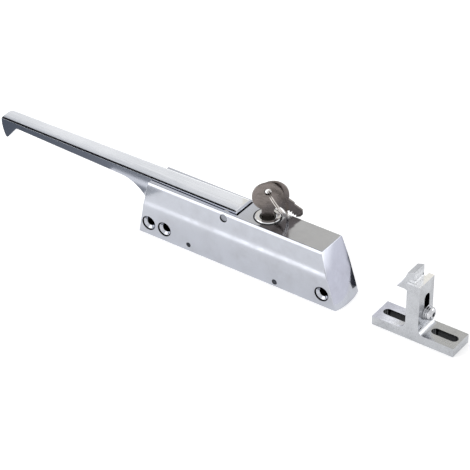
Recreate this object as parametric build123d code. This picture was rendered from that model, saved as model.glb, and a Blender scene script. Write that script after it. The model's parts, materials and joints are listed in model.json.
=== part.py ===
from build123d import *
import math
import os

# An edge-mounted refrigerator door latch with its strike, in millimetres.
# X runs along the case from the pull handle's tip to the blunt end, Y through the
# case towards the door face, Z up. While a piece is drawn, Y is measured from the
# case's middle plane and Z from the surface that it stands on.

# Fits and gaps
FIXED_FIT = 0.02
RUNNING_FIT = 0.05
SLIDE_GAP = 0.1
REST_GAP = 0.3
CUT_PAST = 1.0

# Case shell
CASE_WIDTH = 31.3
CASE_TOP_WIDTH = 27.5
CASE_HEIGHT = 46.6
RIDGE_HEIGHT = 26.6
HOLE_SPAN = 159.2
HEEL_MARGIN = 9.7
NOSE_MARGIN = 12.7
HEEL_SLANT = 8.4
NOSE_SLANT = 14.7
NOSE_BULGE = 2.5
NOSE_TOP_BULGE = 0.4
SIDE_WALL = 2.8
TOP_WALL = 3.2
HEEL_WALL = 3.2
NOSE_WALL = 3.6
EDGE_ROUND = 0.8
SILL_HEIGHT = 22.0
HANDLE_SIDE_GAP = 0.6
LEDGE_REACH = 5.6
LEDGE_HEIGHT = 2.0
LEDGE_LENGTH = 13.0

# Door screws
HOLE_HEIGHT = 10.5
HOLE_RADIUS = 3.4
HOLE_PAIR = 14.9
HEAD_RADIUS = 6.2
BOSS_RADIUS = 6.4

# Handle
PIVOT_X = -9.9
PIVOT_DEPTH = 4.6
PIVOT_RADIUS = 3.25
PIVOT_SHOULDER = 13.6
HANDLE_REACH = 221.0
TAIL_REACH = 9.1
HANDLE_SWING = 22.0
TAIL_ROUND = 3.5
TAIL_GAP = 1.3
HANDLE_PROUD = 2.8
HANDLE_FALL = 1.6
TIP_WIDTH = 14.6
TAIL_WIDTH = 19.8
CROWN = 0.7
PLATE = 3.4
CHEEK = 2.6
TIP_CORNER = 4.5
GRIP_DEPTH = 5.6
ROOT_DEPTH = 8.4
HOOK_LENGTH = 15.0
HOOK_DROP = 18.2
HOOK_POINT = 4.4
HOOK_ROUND = 1.5
HOOK_BELLY = 0.7
TIP_STRAIGHT = 2.0
GRIP_ROUND = 2.0
SWEEP_RADIUS = 32.0
SWEEP_START = 30.9
HOLLOW_START = 19.0
BUSH_RADIUS = 4.8
BUSH_INSET = 0.4
BUMPER_HEIGHT = 2.2
BUMPER_INSET = 0.4
ROLLER_LIFT = 3.0
ROLLER_RADIUS = 4.0
ROLLER_PIN_RADIUS = 1.75
TOE_RADIUS = 5.0
TOE_RAMP = 3.4

# Bolt
FRONT_PIN_X = 37.6
FRONT_PIN_HEIGHT = 3.8
FRONT_PIN_RADIUS = 2.25
REAR_PIN_X = -41.8
REAR_PIN_HEIGHT = 5.4
REAR_PIN_RADIUS = 2.0
PIN_RECESS = 0.2
PIN_CHAMFER = 0.3
BAR_THICKNESS = 3.5
BAR_HALF_WIDTH = 8.6
BAR_TAIL = 5.0
BAR_HEAD = 10.4
PAD_LENGTH = 21.0
LUG_THICKNESS = 4.0
LUG_HEIGHT = 9.6
LUG_HALF_WIDTH = 5.0
NOSE_REACH = 5.5
NOSE_HEIGHT = 6.5
NOSE_LENGTH = 17.5
NOSE_BEVEL = 4.5
NOSE_BEVEL_HEIGHT = 5.6
RIVET_RADIUS = 1.6
RIVET_OFFSET = 4.6
RIVET_SETBACK = 6.5

# Bolt spring
SPRING_RADIUS = 3.55
SPRING_WIRE = 0.9
SPRING_TURNS = 9
SPRING_LENGTH = 23.0
SPRING_RIB = 3.0
SPRING_RIB_GAP = 3.3
RIB_PEG = 3.0
SPIGOT_RADIUS = 2.5
SPIGOT_LENGTH = 7.5

# Lock and keys
LOCK_X = 19.8
LOCK_Y = 1.4
BARREL_RADIUS = 8.0
BEZEL_RADIUS = 10.6
BEZEL_HEIGHT = 1.0
BEZEL_ROUND = 0.5
PLUG_RADIUS = 6.15
PLUG_RECESS = 0.2
DOT_RADIUS = 0.6
DOT_OFFSET = 5.1
DOT_DEPTH = 1.0
NUT_RADIUS = 9.5
NUT_HEIGHT = 4.0
NUT_NOTCH = 3.0
NUT_NOTCH_DEPTH = 0.9
CAM_THICKNESS = 2.0
CAM_RADIUS = 7.0
CAM_REACH = 10.6
CAM_WIDTH = 8.0
TAIL_SQUARE = 6.0
CAM_SCREW_RADIUS = 4.0
CAM_SCREW_HEAD = 1.8
CAM_SCREW_SHANK = 1.48
CAM_SCREW_LENGTH = 5.0
CAM_SCREW_SLOT = 1.0
CAM_SCREW_SLOT_DEPTH = 0.8
CAM_SCREW_GAP = 1.6
KEY_TURN = 35.3
KEY_BOW_RADIUS = 11.9
KEY_BOW_LIFT = 17.6
KEY_LENGTH = 28.0
KEY_THICKNESS = 2.2
KEY_HOLE_OFFSET = 4.5
KEY_HOLE_RADIUS = 2.9
KEY_NECK = 9.4
KEY_BLADE = 7.4
KEY_SHOULDER_GAP = 0.6
KEY_TIP_GAP = 1.0
KEY_TIP_CHAMFER = 2.2
BITTING_DEPTHS = (1.5, 0.8, 1.9, 1.1)
BITTING_PITCH = 2.1
BITTING_FLAT = 0.25
BITTING_START = 0.3
SPARE_GAP = 0.8
SPARE_ANGLE = 49.5
SPARE_HANG = 1.2
RING_RADIUS = 12.0
RING_WIRE = 1.1
RING_PITCH = 1.55
RING_TURNS = 2
RING_ANGLE = 55.0
RING_TWIST = 10.0
RING_SEAT = 1.2

# Strike
STRIKE_X = 122.2
STRIKE_FRONT = -13.0
STRIKE_LENGTH = 69.1
STRIKE_WIDTH = 21.8
BASE_THICKNESS = 7.4
STRIKE_SLOT_RADIUS = 3.5
STRIKE_SLOT_LENGTH = 22.0
STRIKE_SLOT_LEFT = 3.6
STRIKE_SLOT_RIGHT = 2.5
POST_OFFSET = 28.3
POST_LENGTH = 10.9
POST_DEPTH = 20.0
POST_HEIGHT = 49.1
FRONT_WALL = 2.2
WEB_THICKNESS = 4.7
FLARE_RADIUS = 7.5
WEB_FILLET = 5.0
GUIDE_GAP = 0.15
HOOK_DEPTH = 13.6
BARB_REACH = 10.3
BARB_HEIGHT = 41.3
BARB_ROUND = 4.0
CAM_TOP_RISE = 15.5
CAM_TOP_BACK = 9.1
CAM_BULGE = 0.85
HOOK_TOP_RISE = 1.9
NECK_SETBACK = 1.5
STEM_FOOT = 1.6
CLAMP_HEIGHT = 21.4
CLAMP_SETBACK = 10.9
CLAMP_RADIUS = 3.0
CLAMP_TRAVEL = 13.0
CLAMP_SLOT_GAP = 0.6
FLAT_WASHER_RADIUS = 6.2
FLAT_WASHER = 1.2
LOCK_WASHER_RADIUS = 5.7
LOCK_WASHER = 1.5
LOCK_WASHER_GAP = 0.9
CLAMP_HEAD_RADIUS = 5.25
CLAMP_HEAD = 3.4
CLAMP_HEAD_ROUND = 2.4
CLAMP_SOCKET = 2.2
CLAMP_SOCKET_DEPTH = 2.0

# Places worked out from the sizes above
HALF = CASE_WIDTH / 2
TOP_HALF = CASE_TOP_WIDTH / 2
HEEL_X = -HOLE_SPAN / 2 - HEEL_MARGIN
NOSE_X = HOLE_SPAN / 2 + NOSE_MARGIN
DECK_UNDERSIDE = CASE_HEIGHT - TOP_WALL
TIP_X = PIVOT_X - HANDLE_REACH
TAIL_X = PIVOT_X + TAIL_REACH
DECK_X = TAIL_X + TAIL_GAP
TAIL_TOP = CASE_HEIGHT + HANDLE_PROUD
WEB_HEIGHT = SILL_HEIGHT + BUMPER_HEIGHT + REST_GAP
BAR_UNDERSIDE = REAR_PIN_HEIGHT + REAR_PIN_RADIUS + SLIDE_GAP
PAD_UNDERSIDE = FRONT_PIN_HEIGHT + FRONT_PIN_RADIUS + SLIDE_GAP
BAR_TOP = BAR_UNDERSIDE + BAR_THICKNESS
PIVOT_HEIGHT = CASE_HEIGHT - PIVOT_DEPTH
ROLLER_HEIGHT = BAR_TOP + ROLLER_LIFT + ROLLER_RADIUS
BOLT_TRAVEL = (PIVOT_HEIGHT - ROLLER_HEIGHT) * math.radians(HANDLE_SWING)
BAR_LEFT = REAR_PIN_X - BAR_TAIL
BAR_RIGHT = FRONT_PIN_X + BAR_HEAD
RIB_RIGHT = LOCK_X - BARREL_RADIUS - SPRING_RIB_GAP - RUNNING_FIT
SPRING_HEIGHT = BAR_TOP + SPRING_RADIUS + SPRING_WIRE / 2 + REST_GAP
SPRING_SEAT_X = RIB_RIGHT + SPRING_LENGTH
SPRING_TOP = SPRING_HEIGHT + SPRING_RADIUS + SPRING_WIRE / 2
CAM_BOTTOM = SPRING_TOP + CAM_SCREW_GAP + CAM_SCREW_HEAD
CAM_TOP = CAM_BOTTOM + CAM_THICKNESS
BARREL_BOTTOM = CAM_TOP + REST_GAP
PLUG_TOP = CASE_HEIGHT + BEZEL_HEIGHT - PLUG_RECESS
KEY_HOLE_HEIGHT = PLUG_TOP + KEY_BOW_LIFT + KEY_HOLE_OFFSET
POST_X = STRIKE_X + POST_OFFSET
POST_RIGHT = POST_X + POST_LENGTH
STEM_FRONT = STRIKE_FRONT + FRONT_WALL + GUIDE_GAP
CLAMP_Y = STRIKE_FRONT + CLAMP_SETBACK
STEM_RIGHT = POST_RIGHT - WEB_THICKNESS - GUIDE_GAP

# The origin is midway between the two outer door screws, on the face against the door.
ORIGIN = Pos(0, -HALF, -HOLE_HEIGHT)


def save(part, name):
    part = ORIGIN * part
    export_step(part, f"parts/{name}.step")


def along_y(face, low, high):
    """Extrude an outline drawn in X and Z from one Y to another."""
    return extrude(Plane.XZ.offset(-high) * face, amount=high - low)


def along_x(face, low, high):
    """Extrude an outline drawn in Y and Z from one X to another."""
    return extrude(Plane.YZ.offset(low) * face, amount=high - low)


def along_z(face, low, high):
    return extrude(Plane.XY.offset(low) * face, amount=high - low)


def outline(*points):
    return make_face(Polyline(*points, close=True))


def block(x0, x1, y0, y1, z0, z1):
    size = Box(x1 - x0, y1 - y0, z1 - z0)
    return Pos((x0 + x1) / 2, (y0 + y1) / 2, (z0 + z1) / 2) * size


def rod_y(x, z, radius, low, high):
    return Pos(x, (low + high) / 2, z) * Rot(90, 0, 0) * Cylinder(radius, high - low)


def rod_x(y, z, radius, low, high):
    return Pos((low + high) / 2, y, z) * Rot(0, 90, 0) * Cylinder(radius, high - low)


def rod_z(x, y, radius, low, high):
    return Pos(x, y, (low + high) / 2) * Cylinder(radius, high - low)


def screw_places():
    return (-HOLE_SPAN / 2, -HOLE_SPAN / 2 + HOLE_PAIR, HOLE_SPAN / 2)


def handle_half_width(x):
    share = (x - TIP_X) / (TAIL_X - TIP_X)
    return (TIP_WIDTH + share * (TAIL_WIDTH - TIP_WIDTH)) / 2


def handle_top(x):
    share = (x - TIP_X) / (TAIL_X - TIP_X)
    return TAIL_TOP - HANDLE_FALL * (1 - share)


def helix_point(angle, radius, pitch):
    return Vector(
        radius * math.cos(angle), radius * math.sin(angle), pitch * angle / math.tau
    )


def helix_heading(angle, radius, pitch):
    heading = Vector(
        -radius * math.sin(angle), radius * math.cos(angle), pitch / math.tau
    )
    return heading.normalized()


def biarc(start, start_way, end, end_way):
    """Two arcs that leave one point and reach another along given directions."""
    chord = end - start
    ways = start_way + end_way
    spread = 2 * (1 - start_way.dot(end_way))
    along = chord.dot(ways)
    reach = (math.sqrt(along**2 + spread * chord.dot(chord)) - along) / spread
    first = start + start_way * reach
    last = end - end_way * reach
    middle = (first + last) / 2
    return [
        Edge.make_tangent_arc(start, start_way, middle),
        Edge.make_tangent_arc(middle, last - first, end),
    ]


def coil(radius, wire, pitch, turns):
    """A helical wire along +Z in quarter turns of two arcs each."""
    steps = [math.tau * quarter / 4 for quarter in range(round(turns * 4) + 1)]
    edges = []
    for low, high in zip(steps, steps[1:]):
        edges += biarc(
            helix_point(low, radius, pitch),
            helix_heading(low, radius, pitch),
            helix_point(high, radius, pitch),
            helix_heading(high, radius, pitch),
        )
    path = Wire(edges)
    start = Plane(path @ 0, z_dir=path % 0)
    return sweep(start * Circle(wire / 2), path=path)


def coil_gap(radius, wire, pitch):
    """The least distance of a coil's wire to its next turn, measured on points."""
    start = helix_point(0, radius, pitch)
    count = 64
    later = [math.tau * i / count for i in range(count // 2, 3 * count // 2)]
    return min((helix_point(turn, radius, pitch) - start).length for turn in later) - wire


def case_level(height, bulge):
    """The case's outline in plan at one height, with its blunt end an arc. It is wider
    than the case, which is cut from it with flat sides."""
    share = height / CASE_HEIGHT
    left = HEEL_X + share * HEEL_SLANT
    right = NOSE_X - share * NOSE_SLANT
    wide = HALF + CUT_PAST
    radius = (HALF**2 + bulge**2) / (2 * bulge)
    corner = right + bulge - radius + math.sqrt(radius**2 - wide**2)
    edges = [
        Line((left, -wide, height), (corner, -wide, height)),
        ThreePointArc(
            (corner, -wide, height), (right + bulge, 0, height), (corner, wide, height)
        ),
        Line((corner, wide, height), (left, wide, height)),
        Line((left, wide, height), (left, -wide, height)),
    ]
    return make_face(edges)


def case_section(inset, top, bottom):
    lean = (HALF - TOP_HALF) / (CASE_HEIGHT - RIDGE_HEIGHT)
    top_half = TOP_HALF - inset + lean * (CASE_HEIGHT - top)
    return outline(
        (-HALF + inset, bottom),
        (HALF - inset, bottom),
        (HALF - inset, RIDGE_HEIGHT),
        (top_half, top),
        (-top_half, top),
        (-HALF + inset, RIDGE_HEIGHT),
    )


def case_outside():
    levels = [case_level(0, NOSE_BULGE), case_level(CASE_HEIGHT, NOSE_TOP_BULGE)]
    body = loft(levels, ruled=True)
    length = NOSE_X + NOSE_BULGE + CUT_PAST
    body &= along_x(case_section(0, CASE_HEIGHT, 0), HEEL_X - CUT_PAST, length)
    edges = [e for e in body.edges() if e.bounding_box().max.Z > EDGE_ROUND]
    return fillet(edges, EDGE_ROUND)


def case_hollow():
    """The space inside the walls, open at the bottom."""
    left_lean = HEEL_SLANT / CASE_HEIGHT
    right_lean = NOSE_SLANT / CASE_HEIGHT
    left = HEEL_X + HEEL_WALL
    right = NOSE_X - NOSE_WALL
    below = -CUT_PAST
    side = outline(
        (left + below * left_lean, below),
        (right - below * right_lean, below),
        (right - DECK_UNDERSIDE * right_lean, DECK_UNDERSIDE),
        (left + DECK_UNDERSIDE * left_lean, DECK_UNDERSIDE),
    )
    section = along_x(case_section(SIDE_WALL, DECK_UNDERSIDE, below), HEEL_X, NOSE_X)
    return along_y(side, -HALF, HALF) & section


def handle_channel():
    """The slot in the top and in the heel that the handle lies in."""
    left = HEEL_X - CUT_PAST
    left_half = handle_half_width(left) + HANDLE_SIDE_GAP
    right_half = handle_half_width(DECK_X) + HANDLE_SIDE_GAP
    plan = outline(
        (left, -left_half), (DECK_X, -right_half), (DECK_X, right_half), (left, left_half)
    )
    heel = HEEL_X + HEEL_SLANT + HEEL_WALL + CUT_PAST
    slot = along_z(plan, DECK_UNDERSIDE - CUT_PAST, CASE_HEIGHT + CUT_PAST)
    door = along_z(plan, SILL_HEIGHT, CASE_HEIGHT)
    return slot + (door & block(left, heel, -HALF, HALF, 0, CASE_HEIGHT))


def bar_ledges():
    """Ribs on the side walls that keep the bolt bar down on its two pins."""
    low = BAR_TOP + SLIDE_GAP
    inner = HALF - SIDE_WALL - LEDGE_REACH
    outer = HALF - SIDE_WALL / 2
    front_right = BAR_RIGHT + NOSE_REACH - NOSE_LENGTH - BOLT_TRAVEL - REST_GAP
    ledges = []
    for right in (REAR_PIN_X + LEDGE_LENGTH / 2, front_right):
        for side in (-1, 1):
            y0, y1 = sorted((side * inner, side * outer))
            left = right - LEDGE_LENGTH
            ledges.append(block(left, right, y0, y1, low, low + LEDGE_HEIGHT))
    return ledges


def spring_rib():
    left = RIB_RIGHT - SPRING_RIB
    bottom = BAR_TOP + REST_GAP
    rib = block(left, RIB_RIGHT, -LUG_HALF_WIDTH, LUG_HALF_WIDTH, bottom, CASE_HEIGHT - 1)
    peg = rod_x(0, SPRING_HEIGHT, SPIGOT_RADIUS, RIB_RIGHT, RIB_RIGHT + RIB_PEG)
    return rib + peg


def case_shell():
    shell = case_outside() - case_hollow()
    for x in screw_places():
        shell += rod_y(x, HOLE_HEIGHT, BOSS_RADIUS, -HALF + 1, HALF - 1)
    for ledge in bar_ledges():
        shell += ledge
    shell += spring_rib()
    shell -= handle_channel()
    sink_depth = HEAD_RADIUS - HOLE_RADIUS
    for x in screw_places():
        shell -= rod_y(x, HOLE_HEIGHT, HOLE_RADIUS, -HALF - 1, HALF + 1)
        cone = Cone(HEAD_RADIUS, HOLE_RADIUS, sink_depth)
        shell -= Pos(x, -HALF + sink_depth / 2, HOLE_HEIGHT) * Rot(-90, 0, 0) * cone
    for x, z, radius in pin_places():
        shell -= rod_y(x, z, radius + FIXED_FIT, -HALF - 1, HALF + 1)
    shell -= rod_z(
        LOCK_X, LOCK_Y, BARREL_RADIUS + RUNNING_FIT, DECK_UNDERSIDE - 1, CASE_HEIGHT + 1
    )
    return shell


def pin_places():
    return (
        (PIVOT_X, PIVOT_HEIGHT, PIVOT_RADIUS),
        (FRONT_PIN_X, FRONT_PIN_HEIGHT, FRONT_PIN_RADIUS),
        (REAR_PIN_X, REAR_PIN_HEIGHT, REAR_PIN_RADIUS),
    )


def case_pin(place, half_length):
    x, z, radius = place
    pin = rod_y(x, z, radius, -half_length, half_length)
    return chamfer(pin.edges().filter_by(GeomType.CIRCLE), PIN_CHAMFER)


def rest_bumper():
    """The rubber strip on the heel's sill that the handle's web comes down on."""
    left = HEEL_X + HEEL_SLANT * SILL_HEIGHT / CASE_HEIGHT + BUMPER_INSET
    right = left + HEEL_WALL - 2 * BUMPER_INSET
    half = handle_half_width(HEEL_X) + HANDLE_SIDE_GAP - BUMPER_INSET
    return block(left, right, -half, half, SILL_HEIGHT, SILL_HEIGHT + BUMPER_HEIGHT)


def handle_side():
    """The handle's outline from the side, with its hook, sweep and toe."""
    tip_top = handle_top(TIP_X)
    hook_x = TIP_X + HOOK_LENGTH
    point_x = TIP_X + HOOK_POINT
    point_z = tip_top - HOOK_DROP
    grip_z = handle_top(hook_x) - GRIP_DEPTH
    sweep_x = HEEL_X - SWEEP_START + HEEL_SLANT
    sweep_z = handle_top(sweep_x) - ROOT_DEPTH
    centre_z = sweep_z - SWEEP_RADIUS
    drop = WEB_HEIGHT - centre_z
    web_x = sweep_x + math.sqrt(SWEEP_RADIUS**2 - drop**2)
    half_way = (math.radians(90) + math.asin(drop / SWEEP_RADIUS)) / 2
    toe_left = PIVOT_X - TOE_RADIUS
    toe_right = PIVOT_X + TOE_RADIUS
    turn = math.acos(TOE_RADIUS / TAIL_REACH)
    tail_edge = TAIL_TOP - TAIL_ROUND
    round_in = TAIL_ROUND * (1 - math.sqrt(0.5))
    above = TAIL_TOP + 1
    edges = [
        Line((TIP_X, above), (TIP_X, tip_top - TIP_STRAIGHT)),
        ThreePointArc(
            (TIP_X, tip_top - TIP_STRAIGHT),
            (TIP_X + HOOK_BELLY, tip_top - HOOK_DROP / 2),
            (point_x, point_z),
        ),
        Line((point_x, point_z), (hook_x, grip_z)),
        Line((hook_x, grip_z), (sweep_x, sweep_z)),
        ThreePointArc(
            (sweep_x, sweep_z),
            (
                sweep_x + SWEEP_RADIUS * math.cos(half_way),
                centre_z + SWEEP_RADIUS * math.sin(half_way),
            ),
            (web_x, WEB_HEIGHT),
        ),
        Line((web_x, WEB_HEIGHT), (toe_left - TOE_RAMP, WEB_HEIGHT)),
        Line((toe_left - TOE_RAMP, WEB_HEIGHT), (toe_left, WEB_HEIGHT - TOE_RAMP)),
        Line((toe_left, WEB_HEIGHT - TOE_RAMP), (toe_left, ROLLER_HEIGHT)),
        ThreePointArc(
            (toe_left, ROLLER_HEIGHT),
            (PIVOT_X, ROLLER_HEIGHT - TOE_RADIUS),
            (toe_right, ROLLER_HEIGHT),
        ),
        Line(
            (toe_right, ROLLER_HEIGHT),
            (toe_right, PIVOT_HEIGHT - TAIL_REACH * math.sin(turn)),
        ),
        ThreePointArc(
            (toe_right, PIVOT_HEIGHT - TAIL_REACH * math.sin(turn)),
            (
                PIVOT_X + TAIL_REACH * math.cos(turn / 2),
                PIVOT_HEIGHT - TAIL_REACH * math.sin(turn / 2),
            ),
            (TAIL_X, PIVOT_HEIGHT),
        ),
        Line((TAIL_X, PIVOT_HEIGHT), (TAIL_X, tail_edge)),
        ThreePointArc(
            (TAIL_X, tail_edge),
            (TAIL_X - round_in, TAIL_TOP - round_in),
            (TAIL_X - TAIL_ROUND, TAIL_TOP),
        ),
        Line((TAIL_X - TAIL_ROUND, TAIL_TOP), (TAIL_X - TAIL_ROUND, above)),
        Line((TAIL_X - TAIL_ROUND, above), (TIP_X, above)),
    ]
    side = make_face(edges)
    point = side.vertices().sort_by_distance((point_x, point_z))[0]
    side = fillet(point, HOOK_ROUND)
    grip = side.vertices().sort_by_distance((hook_x, grip_z))[0]
    return fillet(grip, GRIP_ROUND)


def handle_end_section(x):
    """The handle's crowned section at one end, carried down past its lowest point."""
    half = handle_half_width(x)
    top = handle_top(x)
    edges = [
        Line((x, -half, 0), (x, half, 0)),
        Line((x, half, 0), (x, half, top - CROWN)),
        ThreePointArc((x, half, top - CROWN), (x, 0, top), (x, -half, top - CROWN)),
        Line((x, -half, top - CROWN), (x, -half, 0)),
    ]
    return make_face(edges)


def handle_hollow():
    """The space between the handle's two cheeks, under its top plate."""
    left = TIP_X + HOLLOW_START
    sections = []
    for x in (left, TAIL_X + 1):
        half = handle_half_width(x) - CHEEK
        top = handle_top(x) - PLATE
        sections.append(
            make_face(
                Polyline((x, -half, 0), (x, half, 0), (x, half, top), (x, -half, top), close=True)
            )
        )
    return loft(sections, ruled=True)


def handle_lever():
    body = loft([handle_end_section(TIP_X), handle_end_section(TAIL_X)], ruled=True)
    back_tip = body.edges().filter_by(Axis.Z).sort_by(Axis.X)[:2].sort_by(Axis.Y)[-1]
    body = fillet(back_tip, TIP_CORNER)
    body &= along_y(handle_side(), -HALF, HALF)
    body -= handle_hollow()
    body -= rod_y(PIVOT_X, PIVOT_HEIGHT, BUSH_RADIUS + FIXED_FIT, -HALF, HALF)
    body -= rod_y(PIVOT_X, ROLLER_HEIGHT, ROLLER_PIN_RADIUS + FIXED_FIT, -HALF, HALF)
    return body


def cheek_faces(x):
    outer = handle_half_width(x)
    return outer - CHEEK, outer


def pivot_bushes():
    inner, outer = cheek_faces(PIVOT_X)
    bushes = []
    for side in (-1, 1):
        low, high = sorted((side * (inner - BUSH_INSET), side * (outer + HANDLE_SIDE_GAP / 2)))
        bush = rod_y(PIVOT_X, PIVOT_HEIGHT, BUSH_RADIUS, low, high)
        bush -= rod_y(PIVOT_X, PIVOT_HEIGHT, PIVOT_RADIUS + RUNNING_FIT, low, high)
        bushes.append(bush)
    return Compound(bushes)


def toe_pin():
    outer = cheek_faces(PIVOT_X)[1] - REST_GAP
    return rod_y(PIVOT_X, ROLLER_HEIGHT, ROLLER_PIN_RADIUS, -outer, outer)


def toe_roller():
    inner = cheek_faces(PIVOT_X)[0] - REST_GAP
    roller = rod_y(PIVOT_X, ROLLER_HEIGHT, ROLLER_RADIUS, -inner, inner)
    return roller - rod_y(
        PIVOT_X, ROLLER_HEIGHT, ROLLER_PIN_RADIUS + RUNNING_FIT, -inner, inner
    )


def rivet_places():
    return [(BAR_RIGHT - RIVET_SETBACK, side * RIVET_OFFSET) for side in (-1, 1)]


def bolt_bar():
    """The flat bar that slides on the two lower pins, with its two upright lugs."""
    bar = block(BAR_LEFT, BAR_RIGHT, -BAR_HALF_WIDTH, BAR_HALF_WIDTH, BAR_UNDERSIDE, BAR_TOP)
    bar += block(
        BAR_RIGHT - PAD_LENGTH,
        BAR_RIGHT,
        -BAR_HALF_WIDTH,
        BAR_HALF_WIDTH,
        PAD_UNDERSIDE,
        BAR_TOP,
    )
    push_face = PIVOT_X - ROLLER_RADIUS - REST_GAP
    for left in (push_face - LUG_THICKNESS, SPRING_SEAT_X):
        bar += block(
            left,
            left + LUG_THICKNESS,
            -LUG_HALF_WIDTH,
            LUG_HALF_WIDTH,
            BAR_UNDERSIDE,
            BAR_TOP + LUG_HEIGHT,
        )
    bar += rod_x(0, SPRING_HEIGHT, SPIGOT_RADIUS, SPRING_SEAT_X - SPIGOT_LENGTH, SPRING_SEAT_X)
    for x, y in rivet_places():
        bar -= rod_z(x, y, RIVET_RADIUS + FIXED_FIT, 0, CASE_HEIGHT)
    return bar


def bolt_nose():
    """The bevelled nose that the strike pushes back and then drops over."""
    tip = BAR_RIGHT + NOSE_REACH
    top = BAR_TOP + NOSE_HEIGHT
    side = outline(
        (tip - NOSE_LENGTH, BAR_TOP),
        (BAR_RIGHT, BAR_TOP),
        (BAR_RIGHT, PAD_UNDERSIDE),
        (tip - NOSE_BEVEL, PAD_UNDERSIDE),
        (tip, PAD_UNDERSIDE + NOSE_BEVEL_HEIGHT),
        (tip, top),
        (tip - NOSE_LENGTH, top),
    )
    nose = along_y(side, -BAR_HALF_WIDTH, BAR_HALF_WIDTH)
    for x, y in rivet_places():
        nose -= rod_z(x, y, RIVET_RADIUS + FIXED_FIT, 0, CASE_HEIGHT)
    return nose


def nose_rivets():
    top = BAR_TOP + NOSE_HEIGHT
    return Compound(
        [rod_z(x, y, RIVET_RADIUS, PAD_UNDERSIDE, top) for x, y in rivet_places()]
    )


def bolt_spring():
    wound = SPRING_LENGTH - SPRING_WIRE - 2 * SLIDE_GAP
    pitch = wound / SPRING_TURNS
    wire = coil(SPRING_RADIUS, SPRING_WIRE, pitch, SPRING_TURNS)
    print("bolt spring gap", round(coil_gap(SPRING_RADIUS, SPRING_WIRE, pitch), 3))
    start = RIB_RIGHT + SLIDE_GAP + SPRING_WIRE / 2
    return Pos(start, 0, SPRING_HEIGHT) * Rot(0, 90, 0) * wire


def at_lock():
    return Pos(LOCK_X, LOCK_Y, 0)


def lock_barrel():
    barrel = rod_z(0, 0, BARREL_RADIUS, BARREL_BOTTOM, CASE_HEIGHT)
    bezel = rod_z(0, 0, BEZEL_RADIUS, CASE_HEIGHT, CASE_HEIGHT + BEZEL_HEIGHT)
    bezel = fillet(bezel.edges().group_by(Axis.Z)[-1], BEZEL_ROUND)
    bore = rod_z(0, 0, PLUG_RADIUS + RUNNING_FIT, BARREL_BOTTOM, PLUG_TOP + 1)
    return at_lock() * (barrel + bezel - bore)


def lock_nut():
    nut = rod_z(0, 0, NUT_RADIUS, DECK_UNDERSIDE - NUT_HEIGHT, DECK_UNDERSIDE)
    nut -= rod_z(0, 0, BARREL_RADIUS + FIXED_FIT, 0, CASE_HEIGHT)
    for quarter in range(4):
        inner = NUT_RADIUS - NUT_NOTCH_DEPTH
        notch = block(inner, NUT_RADIUS + 1, -NUT_NOTCH / 2, NUT_NOTCH / 2, 0, CASE_HEIGHT)
        nut -= Rot(0, 0, 45 + 90 * quarter) * notch
    return at_lock() * nut


def lock_plug():
    plug = rod_z(0, 0, PLUG_RADIUS, BARREL_BOTTOM, PLUG_TOP)
    half = TAIL_SQUARE / 2
    plug += block(-half, half, -half, half, CAM_BOTTOM, BARREL_BOTTOM)
    slot_bottom = PLUG_TOP + KEY_BOW_LIFT - KEY_LENGTH - KEY_TIP_GAP
    slot = block(
        -KEY_BLADE / 2 - SLIDE_GAP,
        KEY_BLADE / 2 + SLIDE_GAP,
        -KEY_THICKNESS / 2 - SLIDE_GAP,
        KEY_THICKNESS / 2 + SLIDE_GAP,
        slot_bottom,
        CASE_HEIGHT * 2,
    )
    plug -= slot
    plug -= Rot(0, 0, 180) * rod_z(DOT_OFFSET, 0, DOT_RADIUS, PLUG_TOP - DOT_DEPTH, PLUG_TOP + 1)
    tap_top = CAM_BOTTOM + CAM_SCREW_LENGTH + REST_GAP
    plug -= rod_z(0, 0, CAM_SCREW_SHANK + FIXED_FIT, CAM_BOTTOM - 1, tap_top)
    return at_lock() * Rot(0, 0, KEY_TURN) * plug


def lock_cam():
    """The tongue under the barrel that the key turns a quarter turn."""
    cam = Circle(CAM_RADIUS) + Pos(CAM_REACH / 2, 0) * Rectangle(CAM_REACH, CAM_WIDTH)
    cam -= Rot(0, 0, KEY_TURN + 90) * Rectangle(
        TAIL_SQUARE + 2 * FIXED_FIT, TAIL_SQUARE + 2 * FIXED_FIT
    )
    return at_lock() * Rot(0, 0, -90) * along_z(cam, CAM_BOTTOM, CAM_TOP)


def cam_screw():
    head = rod_z(0, 0, CAM_SCREW_RADIUS, CAM_BOTTOM - CAM_SCREW_HEAD, CAM_BOTTOM)
    shank = rod_z(0, 0, CAM_SCREW_SHANK, CAM_BOTTOM, CAM_BOTTOM + CAM_SCREW_LENGTH)
    bottom = CAM_BOTTOM - CAM_SCREW_HEAD
    slot = block(
        -CAM_SCREW_RADIUS,
        CAM_SCREW_RADIUS,
        -CAM_SCREW_SLOT / 2,
        CAM_SCREW_SLOT / 2,
        bottom,
        bottom + CAM_SCREW_SLOT_DEPTH,
    )
    return at_lock() * (head + shank - slot)


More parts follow.
